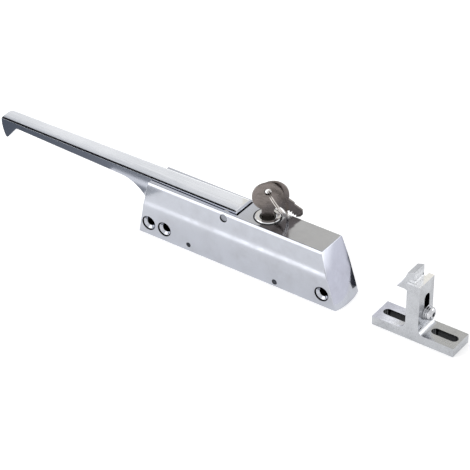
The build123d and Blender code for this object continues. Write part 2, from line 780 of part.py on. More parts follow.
def key_face():
    """A round-bowed flat key, drawn with its ring hole at the origin."""
    bow_y = -KEY_HOLE_OFFSET
    tip = bow_y - KEY_LENGTH
    shoulder = bow_y - KEY_BOW_LIFT + KEY_SHOULDER_GAP
    half = KEY_BLADE / 2
    chamfer_top = tip + KEY_TIP_CHAMFER
    points = [(half, shoulder), (half, chamfer_top), (half - KEY_TIP_CHAMFER, tip)]
    points += [(KEY_TIP_CHAMFER - half, tip), (-half, chamfer_top)]
    bite_start = chamfer_top + BITTING_START
    for index, depth in enumerate(BITTING_DEPTHS):
        low = bite_start + index * BITTING_PITCH
        points.append((-half, low))
        points.append((depth - half, low + (BITTING_PITCH - BITTING_FLAT) / 2))
        points.append((depth - half, low + (BITTING_PITCH + BITTING_FLAT) / 2))
    points += [(-half, bite_start + len(BITTING_DEPTHS) * BITTING_PITCH), (-half, shoulder)]
    blade = outline(*points)
    neck = Pos(0, (shoulder + bow_y) / 2) * Rectangle(KEY_NECK, bow_y - shoulder)
    bow = Pos(0, bow_y) * Circle(KEY_BOW_RADIUS)
    return blade + neck + bow - Circle(KEY_HOLE_RADIUS)


def key_plane(setback, lean, aside=0, drop=0):
    """The plane of a key on the ring: its origin is the ring hole's centre."""
    facing = math.radians(KEY_TURN)
    normal = Vector(math.sin(facing), -math.cos(facing), 0)
    right = Vector(math.cos(facing), math.sin(facing), 0)
    hole = Vector(LOCK_X, LOCK_Y, KEY_HOLE_HEIGHT - drop) - normal * setback + right * aside
    across = right * math.cos(lean) + Vector(0, 0, math.sin(lean))
    return Plane(origin=hole, x_dir=across, z_dir=normal)


def key_blank(plane):
    return extrude(plane * key_face(), amount=KEY_THICKNESS)


def key():
    return key_blank(key_plane(KEY_THICKNESS / 2, 0))


def spare_key():
    """The key behind, which hangs on the ring's wire by the top of its hole."""
    droop = math.radians(RING_ANGLE)
    setback = KEY_THICKNESS * 1.5 + SPARE_GAP
    aside = RING_SEAT * math.cos(droop)
    drop = RING_SEAT * math.sin(droop) + SPARE_HANG
    return key_blank(key_plane(setback, math.radians(SPARE_ANGLE), aside, drop))


def split_ring():
    """Two turns of wire through both keys, drooping to the right of the bows."""
    wire = coil(RING_RADIUS, RING_WIRE, RING_PITCH, RING_TURNS)
    print("split ring gap", round(coil_gap(RING_RADIUS, RING_WIRE, RING_PITCH), 3))
    hole = key_plane(0, -math.radians(RING_ANGLE))
    centred = Pos(0, 0, -RING_PITCH * RING_TURNS / 2) * Rot(0, 0, 90) * wire
    middle = hole.origin + hole.x_dir * (RING_RADIUS + RING_SEAT)
    seat = Plane(origin=middle, x_dir=hole.z_dir, z_dir=hole.y_dir)
    return seat * Rot(0, -RING_TWIST, 0) * centred


def strike_slot_places():
    half = STRIKE_SLOT_LENGTH / 2
    left = STRIKE_X + STRIKE_SLOT_LEFT + half
    return (left, STRIKE_X + STRIKE_LENGTH - STRIKE_SLOT_RIGHT - half)


def strike_front_side():
    """The strike's front face: base edge, flared foot and upright wall."""
    foot = BASE_THICKNESS
    edges = [
        Line((STRIKE_X, 0), (STRIKE_X + STRIKE_LENGTH, 0)),
        Line((STRIKE_X + STRIKE_LENGTH, 0), (STRIKE_X + STRIKE_LENGTH, foot)),
        Line((STRIKE_X + STRIKE_LENGTH, foot), (POST_RIGHT + WEB_FILLET, foot)),
        RadiusArc((POST_RIGHT + WEB_FILLET, foot), (POST_RIGHT, foot + WEB_FILLET), WEB_FILLET),
        Line((POST_RIGHT, foot + WEB_FILLET), (POST_RIGHT, POST_HEIGHT)),
        Line((POST_RIGHT, POST_HEIGHT), (POST_X, POST_HEIGHT)),
        Line((POST_X, POST_HEIGHT), (POST_X, foot + FLARE_RADIUS)),
        RadiusArc((POST_X, foot + FLARE_RADIUS), (POST_X - FLARE_RADIUS, foot), FLARE_RADIUS),
        Line((POST_X - FLARE_RADIUS, foot), (STRIKE_X, foot)),
        Line((STRIKE_X, foot), (STRIKE_X, 0)),
    ]
    return make_face(edges)


def strike_bracket():
    back = STRIKE_FRONT + STRIKE_WIDTH
    right = STRIKE_X + STRIKE_LENGTH
    base = block(STRIKE_X, right, STRIKE_FRONT, back, 0, BASE_THICKNESS)
    front = along_y(strike_front_side(), STRIKE_FRONT, STRIKE_FRONT + FRONT_WALL)
    web_left = POST_RIGHT - WEB_THICKNESS
    web_back = STRIKE_FRONT + POST_DEPTH
    foot = BASE_THICKNESS
    web_side = make_face(
        [
            Line((web_left, foot - 1), (POST_RIGHT + WEB_FILLET, foot - 1)),
            Line((POST_RIGHT + WEB_FILLET, foot - 1), (POST_RIGHT + WEB_FILLET, foot)),
            RadiusArc((POST_RIGHT + WEB_FILLET, foot), (POST_RIGHT, foot + WEB_FILLET), WEB_FILLET),
            Line((POST_RIGHT, foot + WEB_FILLET), (POST_RIGHT, POST_HEIGHT)),
            Line((POST_RIGHT, POST_HEIGHT), (web_left, POST_HEIGHT)),
            Line((web_left, POST_HEIGHT), (web_left, foot - 1)),
        ]
    )
    bracket = base + front + along_y(web_side, STRIKE_FRONT, web_back)
    width = 2 * STRIKE_SLOT_RADIUS
    middle = STRIKE_FRONT + STRIKE_WIDTH / 2
    for x in strike_slot_places():
        slot = SlotOverall(STRIKE_SLOT_LENGTH, width)
        bracket -= along_z(Pos(x, middle) * slot, -1, BASE_THICKNESS + FLARE_RADIUS)
    radius = CLAMP_RADIUS + CLAMP_SLOT_GAP
    slot = SlotOverall(CLAMP_TRAVEL + 2 * radius, 2 * radius, 90)
    clamp = Pos(CLAMP_Y, CLAMP_HEIGHT + CLAMP_TRAVEL / 2) * slot
    return bracket - along_x(clamp, web_left - 1, POST_RIGHT + WEB_FILLET)


def strike_hook():
    """The barbed hook that slides in the post and is clamped at its height."""
    tip_x = POST_X - BARB_REACH
    cam_x = tip_x + CAM_TOP_BACK
    cam_z = BARB_HEIGHT + CAM_TOP_RISE
    neck_x = STEM_RIGHT - NECK_SETBACK
    foot = BASE_THICKNESS + STEM_FOOT
    left = POST_X + GUIDE_GAP
    edges = [
        SagittaArc((tip_x, BARB_HEIGHT), (cam_x, cam_z), -CAM_BULGE),
        Line((cam_x, cam_z), (neck_x, cam_z + HOOK_TOP_RISE)),
        Line((neck_x, cam_z + HOOK_TOP_RISE), (neck_x, POST_HEIGHT)),
        Line((neck_x, POST_HEIGHT), (STEM_RIGHT, POST_HEIGHT)),
        Line((STEM_RIGHT, POST_HEIGHT), (STEM_RIGHT, foot)),
        Line((STEM_RIGHT, foot), (left, foot)),
        Line((left, foot), (left, BARB_HEIGHT - BARB_ROUND)),
        RadiusArc((left, BARB_HEIGHT - BARB_ROUND), (left - BARB_ROUND, BARB_HEIGHT), -BARB_ROUND),
        Line((left - BARB_ROUND, BARB_HEIGHT), (tip_x, BARB_HEIGHT)),
    ]
    hook = along_y(make_face(edges), STEM_FRONT, STEM_FRONT + HOOK_DEPTH)
    return hook - rod_x(CLAMP_Y, CLAMP_HEIGHT, CLAMP_RADIUS + FIXED_FIT, POST_X - 1, POST_RIGHT)


def washer(radius, low, thickness):
    ring = rod_x(CLAMP_Y, CLAMP_HEIGHT, radius, low, low + thickness)
    bore = CLAMP_RADIUS + RUNNING_FIT
    return ring - rod_x(CLAMP_Y, CLAMP_HEIGHT, bore, low, low + thickness)


def flat_washer():
    return washer(FLAT_WASHER_RADIUS, POST_RIGHT + SLIDE_GAP, FLAT_WASHER)


def lock_washer():
    low = POST_RIGHT + SLIDE_GAP + FLAT_WASHER
    ring = washer(LOCK_WASHER_RADIUS, low, LOCK_WASHER)
    split = block(
        low,
        low + LOCK_WASHER,
        CLAMP_Y,
        CLAMP_Y + LOCK_WASHER_RADIUS,
        CLAMP_HEIGHT - LOCK_WASHER_GAP / 2,
        CLAMP_HEIGHT + LOCK_WASHER_GAP / 2,
    )
    return ring - split


def clamp_screw():
    seat = POST_RIGHT + SLIDE_GAP + FLAT_WASHER + LOCK_WASHER
    head = rod_x(CLAMP_Y, CLAMP_HEIGHT, CLAMP_HEAD_RADIUS, seat, seat + CLAMP_HEAD)
    head = fillet(head.edges().group_by(Axis.X)[-1], CLAMP_HEAD_ROUND)
    shank = rod_x(CLAMP_Y, CLAMP_HEIGHT, CLAMP_RADIUS, POST_X + 1, seat)
    socket = Pos(CLAMP_Y, CLAMP_HEIGHT) * RegularPolygon(CLAMP_SOCKET, 6)
    top = seat + CLAMP_HEAD
    return head + shank - along_x(socket, top - CLAMP_SOCKET_DEPTH, top + 1)


def main():
    os.makedirs("parts", exist_ok=True)
    pivot, front_pin, rear_pin = pin_places()
    save(case_shell(), "case_shell")
    save(case_pin(pivot, PIVOT_SHOULDER), "handle_pivot_pin")
    save(case_pin(front_pin, HALF - PIN_RECESS), "front_guide_pin")
    save(case_pin(rear_pin, HALF - PIN_RECESS), "rear_guide_pin")
    save(rest_bumper(), "rest_bumper")
    save(handle_lever(), "handle_lever")
    save(pivot_bushes(), "pivot_bushes")
    save(toe_pin(), "toe_pin")
    save(toe_roller(), "toe_roller")
    save(bolt_bar(), "bolt_bar")
    save(bolt_nose(), "bolt_nose")
    save(nose_rivets(), "nose_rivets")
    save(bolt_spring(), "bolt_spring")
    save(lock_barrel(), "lock_barrel")
    save(lock_nut(), "lock_nut")
    save(lock_plug(), "lock_plug")
    save(lock_cam(), "lock_cam")
    save(cam_screw(), "cam_screw")
    save(key(), "key")
    save(spare_key(), "spare_key")
    save(split_ring(), "split_ring")
    save(strike_bracket(), "strike_bracket")
    save(strike_hook(), "strike_hook")
    save(flat_washer(), "flat_washer")
    save(lock_washer(), "lock_washer")
    save(clamp_screw(), "clamp_screw")


main()
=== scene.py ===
import json
import math

import bmesh
import bpy
from mathutils import Matrix, Vector
from mathutils.bvhtree import BVHTree
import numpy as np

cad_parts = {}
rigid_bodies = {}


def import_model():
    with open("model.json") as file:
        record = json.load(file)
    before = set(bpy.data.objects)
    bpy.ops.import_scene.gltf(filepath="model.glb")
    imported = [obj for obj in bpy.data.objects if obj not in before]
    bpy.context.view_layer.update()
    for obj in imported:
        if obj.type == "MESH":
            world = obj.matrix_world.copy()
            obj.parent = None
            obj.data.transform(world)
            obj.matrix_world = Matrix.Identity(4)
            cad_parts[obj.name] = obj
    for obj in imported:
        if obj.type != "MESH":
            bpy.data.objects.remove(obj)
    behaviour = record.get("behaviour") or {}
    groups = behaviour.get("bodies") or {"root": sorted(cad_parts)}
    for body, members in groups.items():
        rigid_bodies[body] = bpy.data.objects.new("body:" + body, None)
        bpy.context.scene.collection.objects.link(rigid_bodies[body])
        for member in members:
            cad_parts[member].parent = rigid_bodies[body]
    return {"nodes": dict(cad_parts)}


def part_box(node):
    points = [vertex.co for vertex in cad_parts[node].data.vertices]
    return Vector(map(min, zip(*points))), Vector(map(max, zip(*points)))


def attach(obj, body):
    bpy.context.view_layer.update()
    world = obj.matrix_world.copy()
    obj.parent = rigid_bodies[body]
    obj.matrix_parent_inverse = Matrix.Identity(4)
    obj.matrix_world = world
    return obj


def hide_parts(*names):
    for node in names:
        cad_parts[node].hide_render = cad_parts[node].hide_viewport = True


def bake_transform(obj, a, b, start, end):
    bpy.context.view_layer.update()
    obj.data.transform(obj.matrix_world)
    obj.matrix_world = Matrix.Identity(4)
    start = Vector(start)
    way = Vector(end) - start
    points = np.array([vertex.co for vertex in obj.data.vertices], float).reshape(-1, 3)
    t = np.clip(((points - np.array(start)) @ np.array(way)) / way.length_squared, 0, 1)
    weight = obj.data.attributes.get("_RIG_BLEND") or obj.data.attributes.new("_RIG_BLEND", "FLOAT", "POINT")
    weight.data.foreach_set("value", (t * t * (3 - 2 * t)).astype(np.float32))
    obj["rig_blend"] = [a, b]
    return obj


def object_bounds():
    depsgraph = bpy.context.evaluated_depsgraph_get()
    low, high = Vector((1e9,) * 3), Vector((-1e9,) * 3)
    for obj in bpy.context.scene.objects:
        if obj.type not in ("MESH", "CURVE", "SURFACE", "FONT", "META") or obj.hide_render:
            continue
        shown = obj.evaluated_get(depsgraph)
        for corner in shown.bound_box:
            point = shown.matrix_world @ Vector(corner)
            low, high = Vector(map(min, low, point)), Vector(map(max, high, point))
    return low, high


bl_info = {
    "name": "Refrigerator door latch",
    "version": (1, 0, 0),
    "blender": (4, 5, 0),
    "location": "3D View > Sidebar > Latch",
    "description": "Finishes, edges, wound wires and studio for an edge-mounted door latch",
    "category": "Object",
}

for leftover in list(bpy.data.objects):
    bpy.data.objects.remove(leftover)
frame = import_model()
CAD_BOX = [list(corner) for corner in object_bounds()]
MM = 0.001
WELD = 0.001 * MM  # points closer than this are one
TOUCH = 0.05 * MM  # points closer than this lie on the same face


def linear(code):
    """An sRGB hex colour as the linear RGBA that the shaders take."""
    shares = [int(code[i : i + 2], 16) / 255 for i in (0, 2, 4)]
    return [s / 12.92 if s <= 0.04045 else ((s + 0.055) / 1.055) ** 2.4 for s in shares] + [1.0]


def colour(name, code, about):
    """A colour that the user can change, from its sRGB hex value."""
    return bpy.props.FloatVectorProperty(
        name=name, description=about, default=linear(code), size=4, min=0, max=1, subtype="COLOR"
    )


def length(name, millimetres, about):
    """A length that the user can change, from its size in millimetres."""
    return bpy.props.FloatProperty(
        name=name, description=about, default=millimetres * MM, min=0, unit="LENGTH", precision=5
    )


class LatchSizes(bpy.types.PropertyGroup):
    """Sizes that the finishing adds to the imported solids."""

    casting_edge: length("Casting edges", 0.35, "Rounding that polishing leaves on the case")
    rim_inset: length("Rim inset", 0.5, "How far in the case's outer top edge is buffed away")
    rim_drop: length("Rim drop", 0.7, "How far down the same edge is buffed away")
    sink_lip: length("Sink lip", 1.1, "Upright wall round each countersink")
    ridge_roll: length("Ridge roll", 0.7, "How far polishing rolls the case's ridge each way")
    handle_edge: length("Handle edges", 0.4, "Rounding on the handle's other edges")
    chamfer_width: length("Chamfer width", 1.1, "Chamfer along the handle's top, across the top")
    chamfer_drop: length("Chamfer drop", 0.5, "The same chamfer, down the side")
    strike_edge: length("Strike edges", 0.4, "Rounding on the satin strike and its hook")
    small_edge: length("Small edges", 0.15, "Rounding on washers, bar, nose and tongue")
    pin_edge: length("Pin edges", 0.45, "Rounding on the pin ends, which makes the groove there")
    key_edge: length("Key edges", 0.3, "Rounding round the key bows and blades")
    spring_wire: length("Spring wire", 0.9, "Wire of the bolt's spring")
    ring_wire: length("Ring wire", 1.1, "Wire of the split ring")
    ring_radius: length("Ring radius", 12.0, "Middle of the split ring's wire")
    ring_step: length("Ring step", 1.35, "Middle to middle of the split ring's two turns")
    thread_pitch: length("Barrel thread", 1.0, "Pitch of the lock barrel's thread")
    thread_rise: length("Thread rise", 0.32, "Height of a thread's crest")
    bezel: length("Bezel", 10.1, "Radius of the lock's bezel")
    bezel_slope: length("Bezel slope", 0.7, "Width of the lock bezel's sloping shoulder")
    # A black ring under the bezel, a dark thing put where the bezel's foot shows shade: painted shade.
    shade_ring: length("Lock shade ring", 11.0, "Radius of the black ring under the bezel, painted shade")
    seal_height: length("Shade ring height", 0.45, "How far the black ring stands above the case's top")


class LatchColours(bpy.types.PropertyGroup):
    """Colours of the finishes."""

    case_metal: colour("Case", "BBBEC6", "Polished plated die-cast zinc")
    case_shade: colour("Case shade", "AFB1B8", "The same where the plating looks greyer")
    # The handle's top and sides are a lit and a shaded tone of one plating: the light top is a painted
    # highlight, the darker sides painted shade.
    handle_metal: colour("Handle top", "E6E8EC", "Handle's top, brushed along its length")
    handle_shade: colour("Handle streaks", "D3D6DB", "Its brushed streaks")
    handle_side_shade: colour("Handle side", "A4A7B0", "Handle's sides, buffed smooth, painted darker as shade")
    strike_metal: colour("Strike", "BCBEC2", "Satin zinc")
    strike_shade: colour("Strike shade", "A6A8AC", "Its duller patches")
    chrome: colour("Lock chrome", "D9DADD", "Bright chrome of the lock's face")
    # Dark as a painted reflection of the keys above the plug.
    plug: colour("Lock plug", "4A4A46", "Lock's turning middle, dark as a painted reflection of the keys")
    nickel: colour("Key nickel", "7F7774", "Dull nickel plate of the keys")
    nickel_worn: colour("Key nickel worn", "69645F", "Handled patches on the keys")
    steel: colour("Plated steel", "B4B6B8", "Zinc-plated steel inside")
    wire: colour("Ring wire", "C2BDB9", "Bright spring wire")
    brass: colour("Brass", "C9A562", "Plain brass of the tongue and nut")
    rubber: colour("Rubber", "1B1C1E", "Black rubber strip")
    nylon: colour("Nylon", "E6E4DC", "White nylon of the bushes and roller")
    # Near black of the painted shade in bores, slots and gaps.
    painted_shade: colour("Painted shade", "0E0F12", "Painted shade in bores, slots and gaps")


class LatchStudio(bpy.types.PropertyGroup):
    """Camera, lamps and reflecting cards."""

    lens: bpy.props.FloatProperty(
        name="Lens", description="Focal length of the camera", default=178.64, unit="CAMERA"
    )
    floor: colour("Floor", "F4F4F4", "Pale paper that the latch stands on")
    room: bpy.props.FloatProperty(
        name="Room light", description="World light on the latch", default=0.7, min=0
    )
    paper_lift: bpy.props.FloatProperty(
        name="Paper lift", description="Added white of the paper as seen", default=0.35, min=0
    )


def sizes():
    return bpy.context.scene.latch_sizes


def colours():
    return bpy.context.scene.latch_colours


def studio():
    return bpy.context.scene.latch_studio


# Materials


def add_node(tree, kind, inputs=None, **settings):
    """Add one node with its settings, and fill or link its inputs by name or number."""
    made = tree.nodes.new(kind)
    for key, value in settings.items():
        setattr(made, key, value)
    for key, value in (inputs or {}).items():
        socket = made.inputs[key]
        if isinstance(value, bpy.types.NodeSocket):
            tree.links.new(value, socket)
        else:
            socket.default_value = value
    return made


def new_material(name):
    """A material with an empty tree, its output, and the object's own coordinates."""
    material = bpy.data.materials.new(name)
    material.use_nodes = True
    tree = material.node_tree
    tree.nodes.clear()
    place = add_node(tree, "ShaderNodeTexCoord").outputs["Object"]
    out = add_node(tree, "ShaderNodeOutputMaterial")
    return material, tree, place, out


def metal(name, face, shade, gloss, grain, relief, ripple=0.0, patch=14.0, sides=None,
          painted_highlight=None):
    """A metal finish. Two close tones lie in soft patches, and a directional grain, given
    as its three lengths in millimetres, shifts the gloss and stands up by its relief. The
    ripple is what hand polishing leaves on a casting. Sides is the colour and roughness
    of upright faces that are finished otherwise than the top; their roughness is that
    finish, and their darker colour is painted shade. The last argument is the height and
    the colour of upward faces that are painted near white there, a painted highlight.
    Faces in narrow places are darkened with painted shade, by the attribute that the
    operator for painted shade gives them."""
    material, tree, place, out = new_material(name)
    patches = add_node(
        tree, "ShaderNodeTexNoise", {"Vector": place, "Scale": 1 / (patch * MM), "Detail": 3.0}
    )
    spread = add_node(
        tree,
        "ShaderNodeMapRange",
        {"Value": patches.outputs["Fac"], "From Min": 0.35, "From Max": 0.65},
    )
    stretch = add_node(
        tree,
        "ShaderNodeMapping",
        {"Vector": place, "Scale": [1 / (step * MM) for step in grain]},
    )
    lines = add_node(
        tree,
        "ShaderNodeTexNoise",
        {"Vector": stretch.outputs[0], "Scale": 1.0, "Detail": 4.0, "Roughness": 0.6},
    )
    streak = add_node(
        tree,
        "ShaderNodeMapRange",
        {"Value": lines.outputs["Fac"], "From Min": 0.3, "From Max": 0.7},
    )
    both = add_node(
        tree,
        "ShaderNodeMath",
        {0: spread.outputs[0], 1: streak.outputs[0]},
        operation="MULTIPLY",
    )
    tone = add_node(
        tree,
        "ShaderNodeMix",
        {"Factor": both.outputs[0], "A": face, "B": shade},
        data_type="RGBA",
    )
    rough = add_node(
        tree,
        "ShaderNodeMapRange",
        {"Value": lines.outputs["Fac"], "From Min": 0.3, "From Max": 0.7,
         "To Min": gloss[0], "To Max": gloss[1]},
    )
    bump = add_node(
        tree,
        "ShaderNodeBump",
        {"Height": lines.outputs["Fac"], "Distance": relief * MM, "Strength": 1.0},
    )
    normal = bump.outputs[0]
    if ripple:
        swell = add_node(
            tree, "ShaderNodeTexNoise", {"Vector": place, "Scale": 1 / (18 * MM), "Detail": 1.0}
        )
        normal = add_node(
            tree,
            "ShaderNodeBump",
            {"Height": swell.outputs["Fac"], "Distance": ripple * MM, "Strength": 1.0,
             "Normal": normal},
        ).outputs[0]
    tint, dullness = tone.outputs["Result"], rough.outputs[0]
    if sides or painted_highlight:
        facing = add_node(tree, "ShaderNodeTexCoord").outputs["Normal"]
        upward = add_node(tree, "ShaderNodeSeparateXYZ", {0: facing}).outputs["Z"]
        top = add_node(
            tree, "ShaderNodeMapRange", {"Value": upward, "From Min": 0.6, "From Max": 0.9}
        ).outputs[0]
    # A painted highlight: upward faces at the given height are painted near white.
    if painted_highlight:
        height = add_node(tree, "ShaderNodeSeparateXYZ", {0: place}).outputs["Z"]
        level = add_node(
            tree,
            "ShaderNodeMath",
            {0: height, 1: painted_highlight[0] * MM, 2: 1.0 * MM},
            operation="COMPARE",
        )
        share = add_node(
            tree, "ShaderNodeMath", {0: level.outputs[0], 1: top}, operation="MULTIPLY"
        )
        tint = add_node(
            tree,
            "ShaderNodeMix",
            {"Factor": share.outputs[0], "A": tint, "B": painted_highlight[1]},
            data_type="RGBA",
        ).outputs["Result"]
    # Upright faces take a darker colour, painted shade, and their own roughness.
    if sides:
        tint = add_node(
            tree,
            "ShaderNodeMix",
            {"Factor": top, "A": sides[0], "B": tint},
            data_type="RGBA",
        ).outputs["Result"]
        dullness = add_node(
            tree,
            "ShaderNodeMapRange",
            {"Value": top, "To Min": sides[1], "To Max": dullness},
        ).outputs[0]
    # Painted shade: faces that see little sky are darkened towards near black.
    painted_shade = add_node(tree, "ShaderNodeAttribute", attribute_name="painted_shade_amount").outputs["Fac"]
    tint = add_node(
        tree,
        "ShaderNodeMix",
        {"Factor": painted_shade, "A": tint, "B": colours().painted_shade},
        data_type="RGBA",
    ).outputs["Result"]
    shader = add_node(
        tree,
        "ShaderNodeBsdfPrincipled",
        {"Base Color": tint, "Roughness": dullness, "Metallic": 1.0, "Normal": normal},
    )
    tree.links.new(shader.outputs[0], out.inputs[0])
    return material


def moulded(name, face, gloss, grain, relief):
    """A plastic or rubber with a fine even grain from its mould."""
    material, tree, place, out = new_material(name)
    dust = add_node(
        tree, "ShaderNodeTexNoise", {"Vector": place, "Scale": 1 / (grain * MM), "Detail": 5.0}
    )
    dark = [channel * 0.8 for channel in face[:3]] + [1.0]
    tone = add_node(
        tree,
        "ShaderNodeMix",
        {"Factor": dust.outputs["Fac"], "A": face, "B": dark},
        data_type="RGBA",
    )
    rough = add_node(
        tree,
        "ShaderNodeMapRange",
        {"Value": dust.outputs["Fac"], "To Min": gloss[0], "To Max": gloss[1]},
    )
    bump = add_node(
        tree, "ShaderNodeBump", {"Height": dust.outputs["Fac"], "Distance": relief * MM}
    )
    shader = add_node(
        tree,
        "ShaderNodeBsdfPrincipled",
        {"Base Color": tone.outputs["Result"], "Roughness": rough.outputs[0],
         "Normal": bump.outputs[0]},
    )
    tree.links.new(shader.outputs[0], out.inputs[0])
    return material


def finish(slot):
    """The material of one of the record's finishes, made when it is first asked for."""
    known = bpy.data.materials.get(FINISHES[slot][0])
    if known:
        return known
    name, make = FINISHES[slot]
    return make(name, colours())


# Height in the frame, in millimetres, of the top of the strike's post, whose upward
# faces are painted near white there, a painted highlight.
POST_TOP = 38.6

FINISHES = {
    # Plated zinc casting, buffed: a mirror with the faint swell of a hand-held buff.
    "polished_zinc": (
        "polished_plated_zinc",
        lambda name, c: metal(
            name, c.case_metal, c.case_shade, (0.09, 0.17), (9, 9, 9), 0.001,
            ripple=0.012, patch=30,
        ),
    ),
    # The same plating on the handle, linished along its length. The real scratches are
    # some 0.1 mm wide; these are drawn 1 mm wide, so that they show.
    # Top and sides take these two tones by which way each face looks: the light top is a painted highlight
    # and the darker sides are painted shade; the grain and the two gloss levels are the real finish.
    "polished_handle": (
        "linished_plated_handle",
        lambda name, c: metal(
            name, c.handle_metal, c.handle_shade, (0.12, 0.24), (60, 1.0, 3), 0.002,
            ripple=0.01, patch=40, sides=(c.handle_side_shade, 0.1),
        ),
    ),
    # Ground steel pin ends, dull from grinding across their face.
    "ground_pin": (
        "ground_steel_pin",
        lambda name, c: metal(
            name, linear("888B92"), linear("6A6D74"), (0.25, 0.4), (0.5, 4, 4), 0.004
        ),
    ),
    # The same where the pins are small, and oil has darkened their ends.
    "dark_pin": (
        "oiled_steel_pin",
        lambda name, c: metal(
            name, linear("4A4D54"), linear("2E3036"), (0.25, 0.4), (0.5, 4, 4), 0.004
        ),
    ),
    "black_rubber": (
        "black_moulded_rubber",
        lambda name, c: moulded(name, c.rubber, (0.55, 0.75), 0.5, 0.02),
    ),
    "white_nylon": (
        "white_moulded_nylon",
        lambda name, c: moulded(name, c.nylon, (0.35, 0.5), 0.8, 0.008),
    ),
    # Rolled strip steel with bright zinc plate: clear streaks along the rolling.
    "plated_steel": (
        "zinc_plated_steel",
        lambda name, c: metal(
            name, c.steel, linear("94979C"), (0.22, 0.38), (12, 0.7, 2), 0.004
        ),
    ),
    "spring_steel": (
        "drawn_spring_steel",
        lambda name, c: metal(
            name, linear("A5A6A8"), linear("85868A"), (0.2, 0.35), (2, 0.6, 0.6), 0.003
        ),
    ),
    # Chrome over turned brass: the brightest surface, with barely seen turning lines.
    "lock_chrome": (
        "chromed_turned_brass",
        lambda name, c: metal(
            name, c.chrome, linear("C4C3C6"), (0.06, 0.12), (6, 6, 1), 0.0008, 0.004
        ),
    ),
    # The lock's turning middle is bare, and painted dark: a painted reflection of the keys over it.
    "plug_painted_reflection": (
        "greased_bare_plug",
        lambda name, c: metal(name, c.plug, linear("24231F"), (0.12, 0.3), (2, 2, 2), 0.002),
    ),
    "plain_brass": (
        "plain_turned_brass",
        lambda name, c: metal(name, c.brass, linear("A98645"), (0.25, 0.4), (3, 3, 0.5), 0.004),
    ),
    # Stamped brass with dull nickel, rubbed grey and brown by handling.
    "key_nickel": (
        "dull_nickel_plate",
        lambda name, c: metal(
            name, c.nickel, c.nickel_worn, (0.24, 0.36), (4, 4, 1.2), 0.004, patch=7
        ),
    ),
    "ring_wire": (
        "bright_drawn_wire",
        lambda name, c: metal(name, c.wire, linear("9E9995"), (0.12, 0.2), (3, 1, 1), 0.002),
    ),
    # Tumbled zinc casting: an even satin with a fine speckle from the tumbling stones.
    # The upward faces at the post's top are painted near white, a painted highlight.
    "satin_zinc": (
        "tumbled_satin_zinc",
        lambda name, c: metal(
            name, c.strike_metal, c.strike_shade, (0.2, 0.3), (1.6, 1.6, 1.6), 0.002,
            ripple=0.004, patch=12, painted_highlight=(POST_TOP, linear("F7F7F7")),
        ),
    ),
    "bright_screw": (
        "bright_nickel_screw",
        lambda name, c: metal(
            name, linear("CBCCCF"), linear("AFB0B4"), (0.12, 0.2), (2, 2, 2), 0.002
        ),
    ),
}


# Meshes


def joined(node):
    """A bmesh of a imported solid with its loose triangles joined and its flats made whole."""
    mesh = frame["nodes"][node].data
    bm = bmesh.new()
    bm.from_mesh(mesh)
    bmesh.ops.remove_doubles(bm, verts=bm.verts, dist=WELD)
    bmesh.ops.dissolve_limit(
        bm, angle_limit=math.radians(0.4), verts=bm.verts, edges=bm.edges
    )
    return bm


def rounded(bm, width, sharp=35.0):
    """Round over every edge that is sharper than an angle."""
    bm.normal_update()
    edges = [
        e
        for e in bm.edges
        if e.is_manifold and e.calc_face_angle(0) > math.radians(sharp)
    ]
    bmesh.ops.bevel(
        bm,
        geom=edges,
        offset=width,
        offset_type="OFFSET",
        segments=3,
        profile=0.5,
        affect="EDGES",
        clamp_overlap=True,
    )
    return bm


def planed(bm, start, end, side, across, down):
    """Plane off a long top edge, from across the top to down the side that faces Y."""
    slope = Vector((0, -side * across, down))
    normal = (end - start).cross(slope).normalized()
    if normal.z < 0:
        normal.negate()
    cut = bmesh.ops.bisect_plane(
        bm,
        geom=bm.verts[:] + bm.edges[:] + bm.faces[:],
        dist=WELD,
        plane_co=start - Vector((0, 0, down)),
        plane_no=normal,
        clear_outer=True,
    )
    rim = [e for e in cut["geom_cut"] if isinstance(e, bmesh.types.BMEdge)]
    made = bmesh.ops.holes_fill(bm, edges=rim, sides=0)
    bm.normal_update()
    inward = [face for face in made["faces"] if face.normal.dot(normal) < 0]
    bmesh.ops.reverse_faces(bm, faces=inward)
    for edge in {e for face in made["faces"] for e in face.edges}:
        edge.smooth = False
    bm.normal_update()
    return bm


def long_edge(bm, side):
    """The two ends of the line where the top meets the side that faces Y that way."""
    line = [
        v.co.copy()
        for e in bm.edges
        if e.is_manifold
        and any(f.normal.y * side > 0.95 for f in e.link_faces)
        and any(f.normal.z > 0.9 for f in e.link_faces)
        for v in e.verts
    ]
    return min(line, key=lambda spot: spot.x), max(line, key=lambda spot: spot.x)


def as_piece(bm, name, slot, body, *stands_for, look=None):
    """Turn a bmesh into a finished piece that rides on a body. Its look is its slot's
    finish where none is named."""
    mesh = bpy.data.meshes.new(name)
    for face in bm.faces:
        face.smooth = True
    bm.to_mesh(mesh)
    bm.free()
    for layer in [a.name for a in mesh.attributes if a.name == "custom_normal"]:
        mesh.attributes.remove(mesh.attributes[layer])
    mesh.materials.clear()
    place_piece(mesh, name, slot, body, *stands_for, look=look)


# Every finished piece, for the search for grime.
PIECES = []


def place_piece(mesh, name, slot, body, *stands_for, look=None, ends=None):
    """Show a finished mesh as a piece that rides on a body, or that bends between that
    body and another where its ends are given as the other body and two points."""
    piece = bpy.data.objects.new(name, mesh)
    bpy.context.scene.collection.objects.link(piece)
    mesh.materials.append(finish(look or slot))
    for polygon in mesh.polygons:
        polygon.material_index = 0
    flats = piece.modifiers.new("Flat faces stay flat", "WEIGHTED_NORMAL")
    flats.keep_sharp = True
    if ends:
        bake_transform(piece, body, *ends)
    else:
        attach(piece, body)
    if stands_for:
        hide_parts(*stands_for)
    PIECES.append(piece)


def finish_solid(node, name, slot, body, width, look=None):
    """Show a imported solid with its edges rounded, as a piece that replaces it."""
    as_piece(rounded(joined(node), width), name, slot, body, node, look=look)


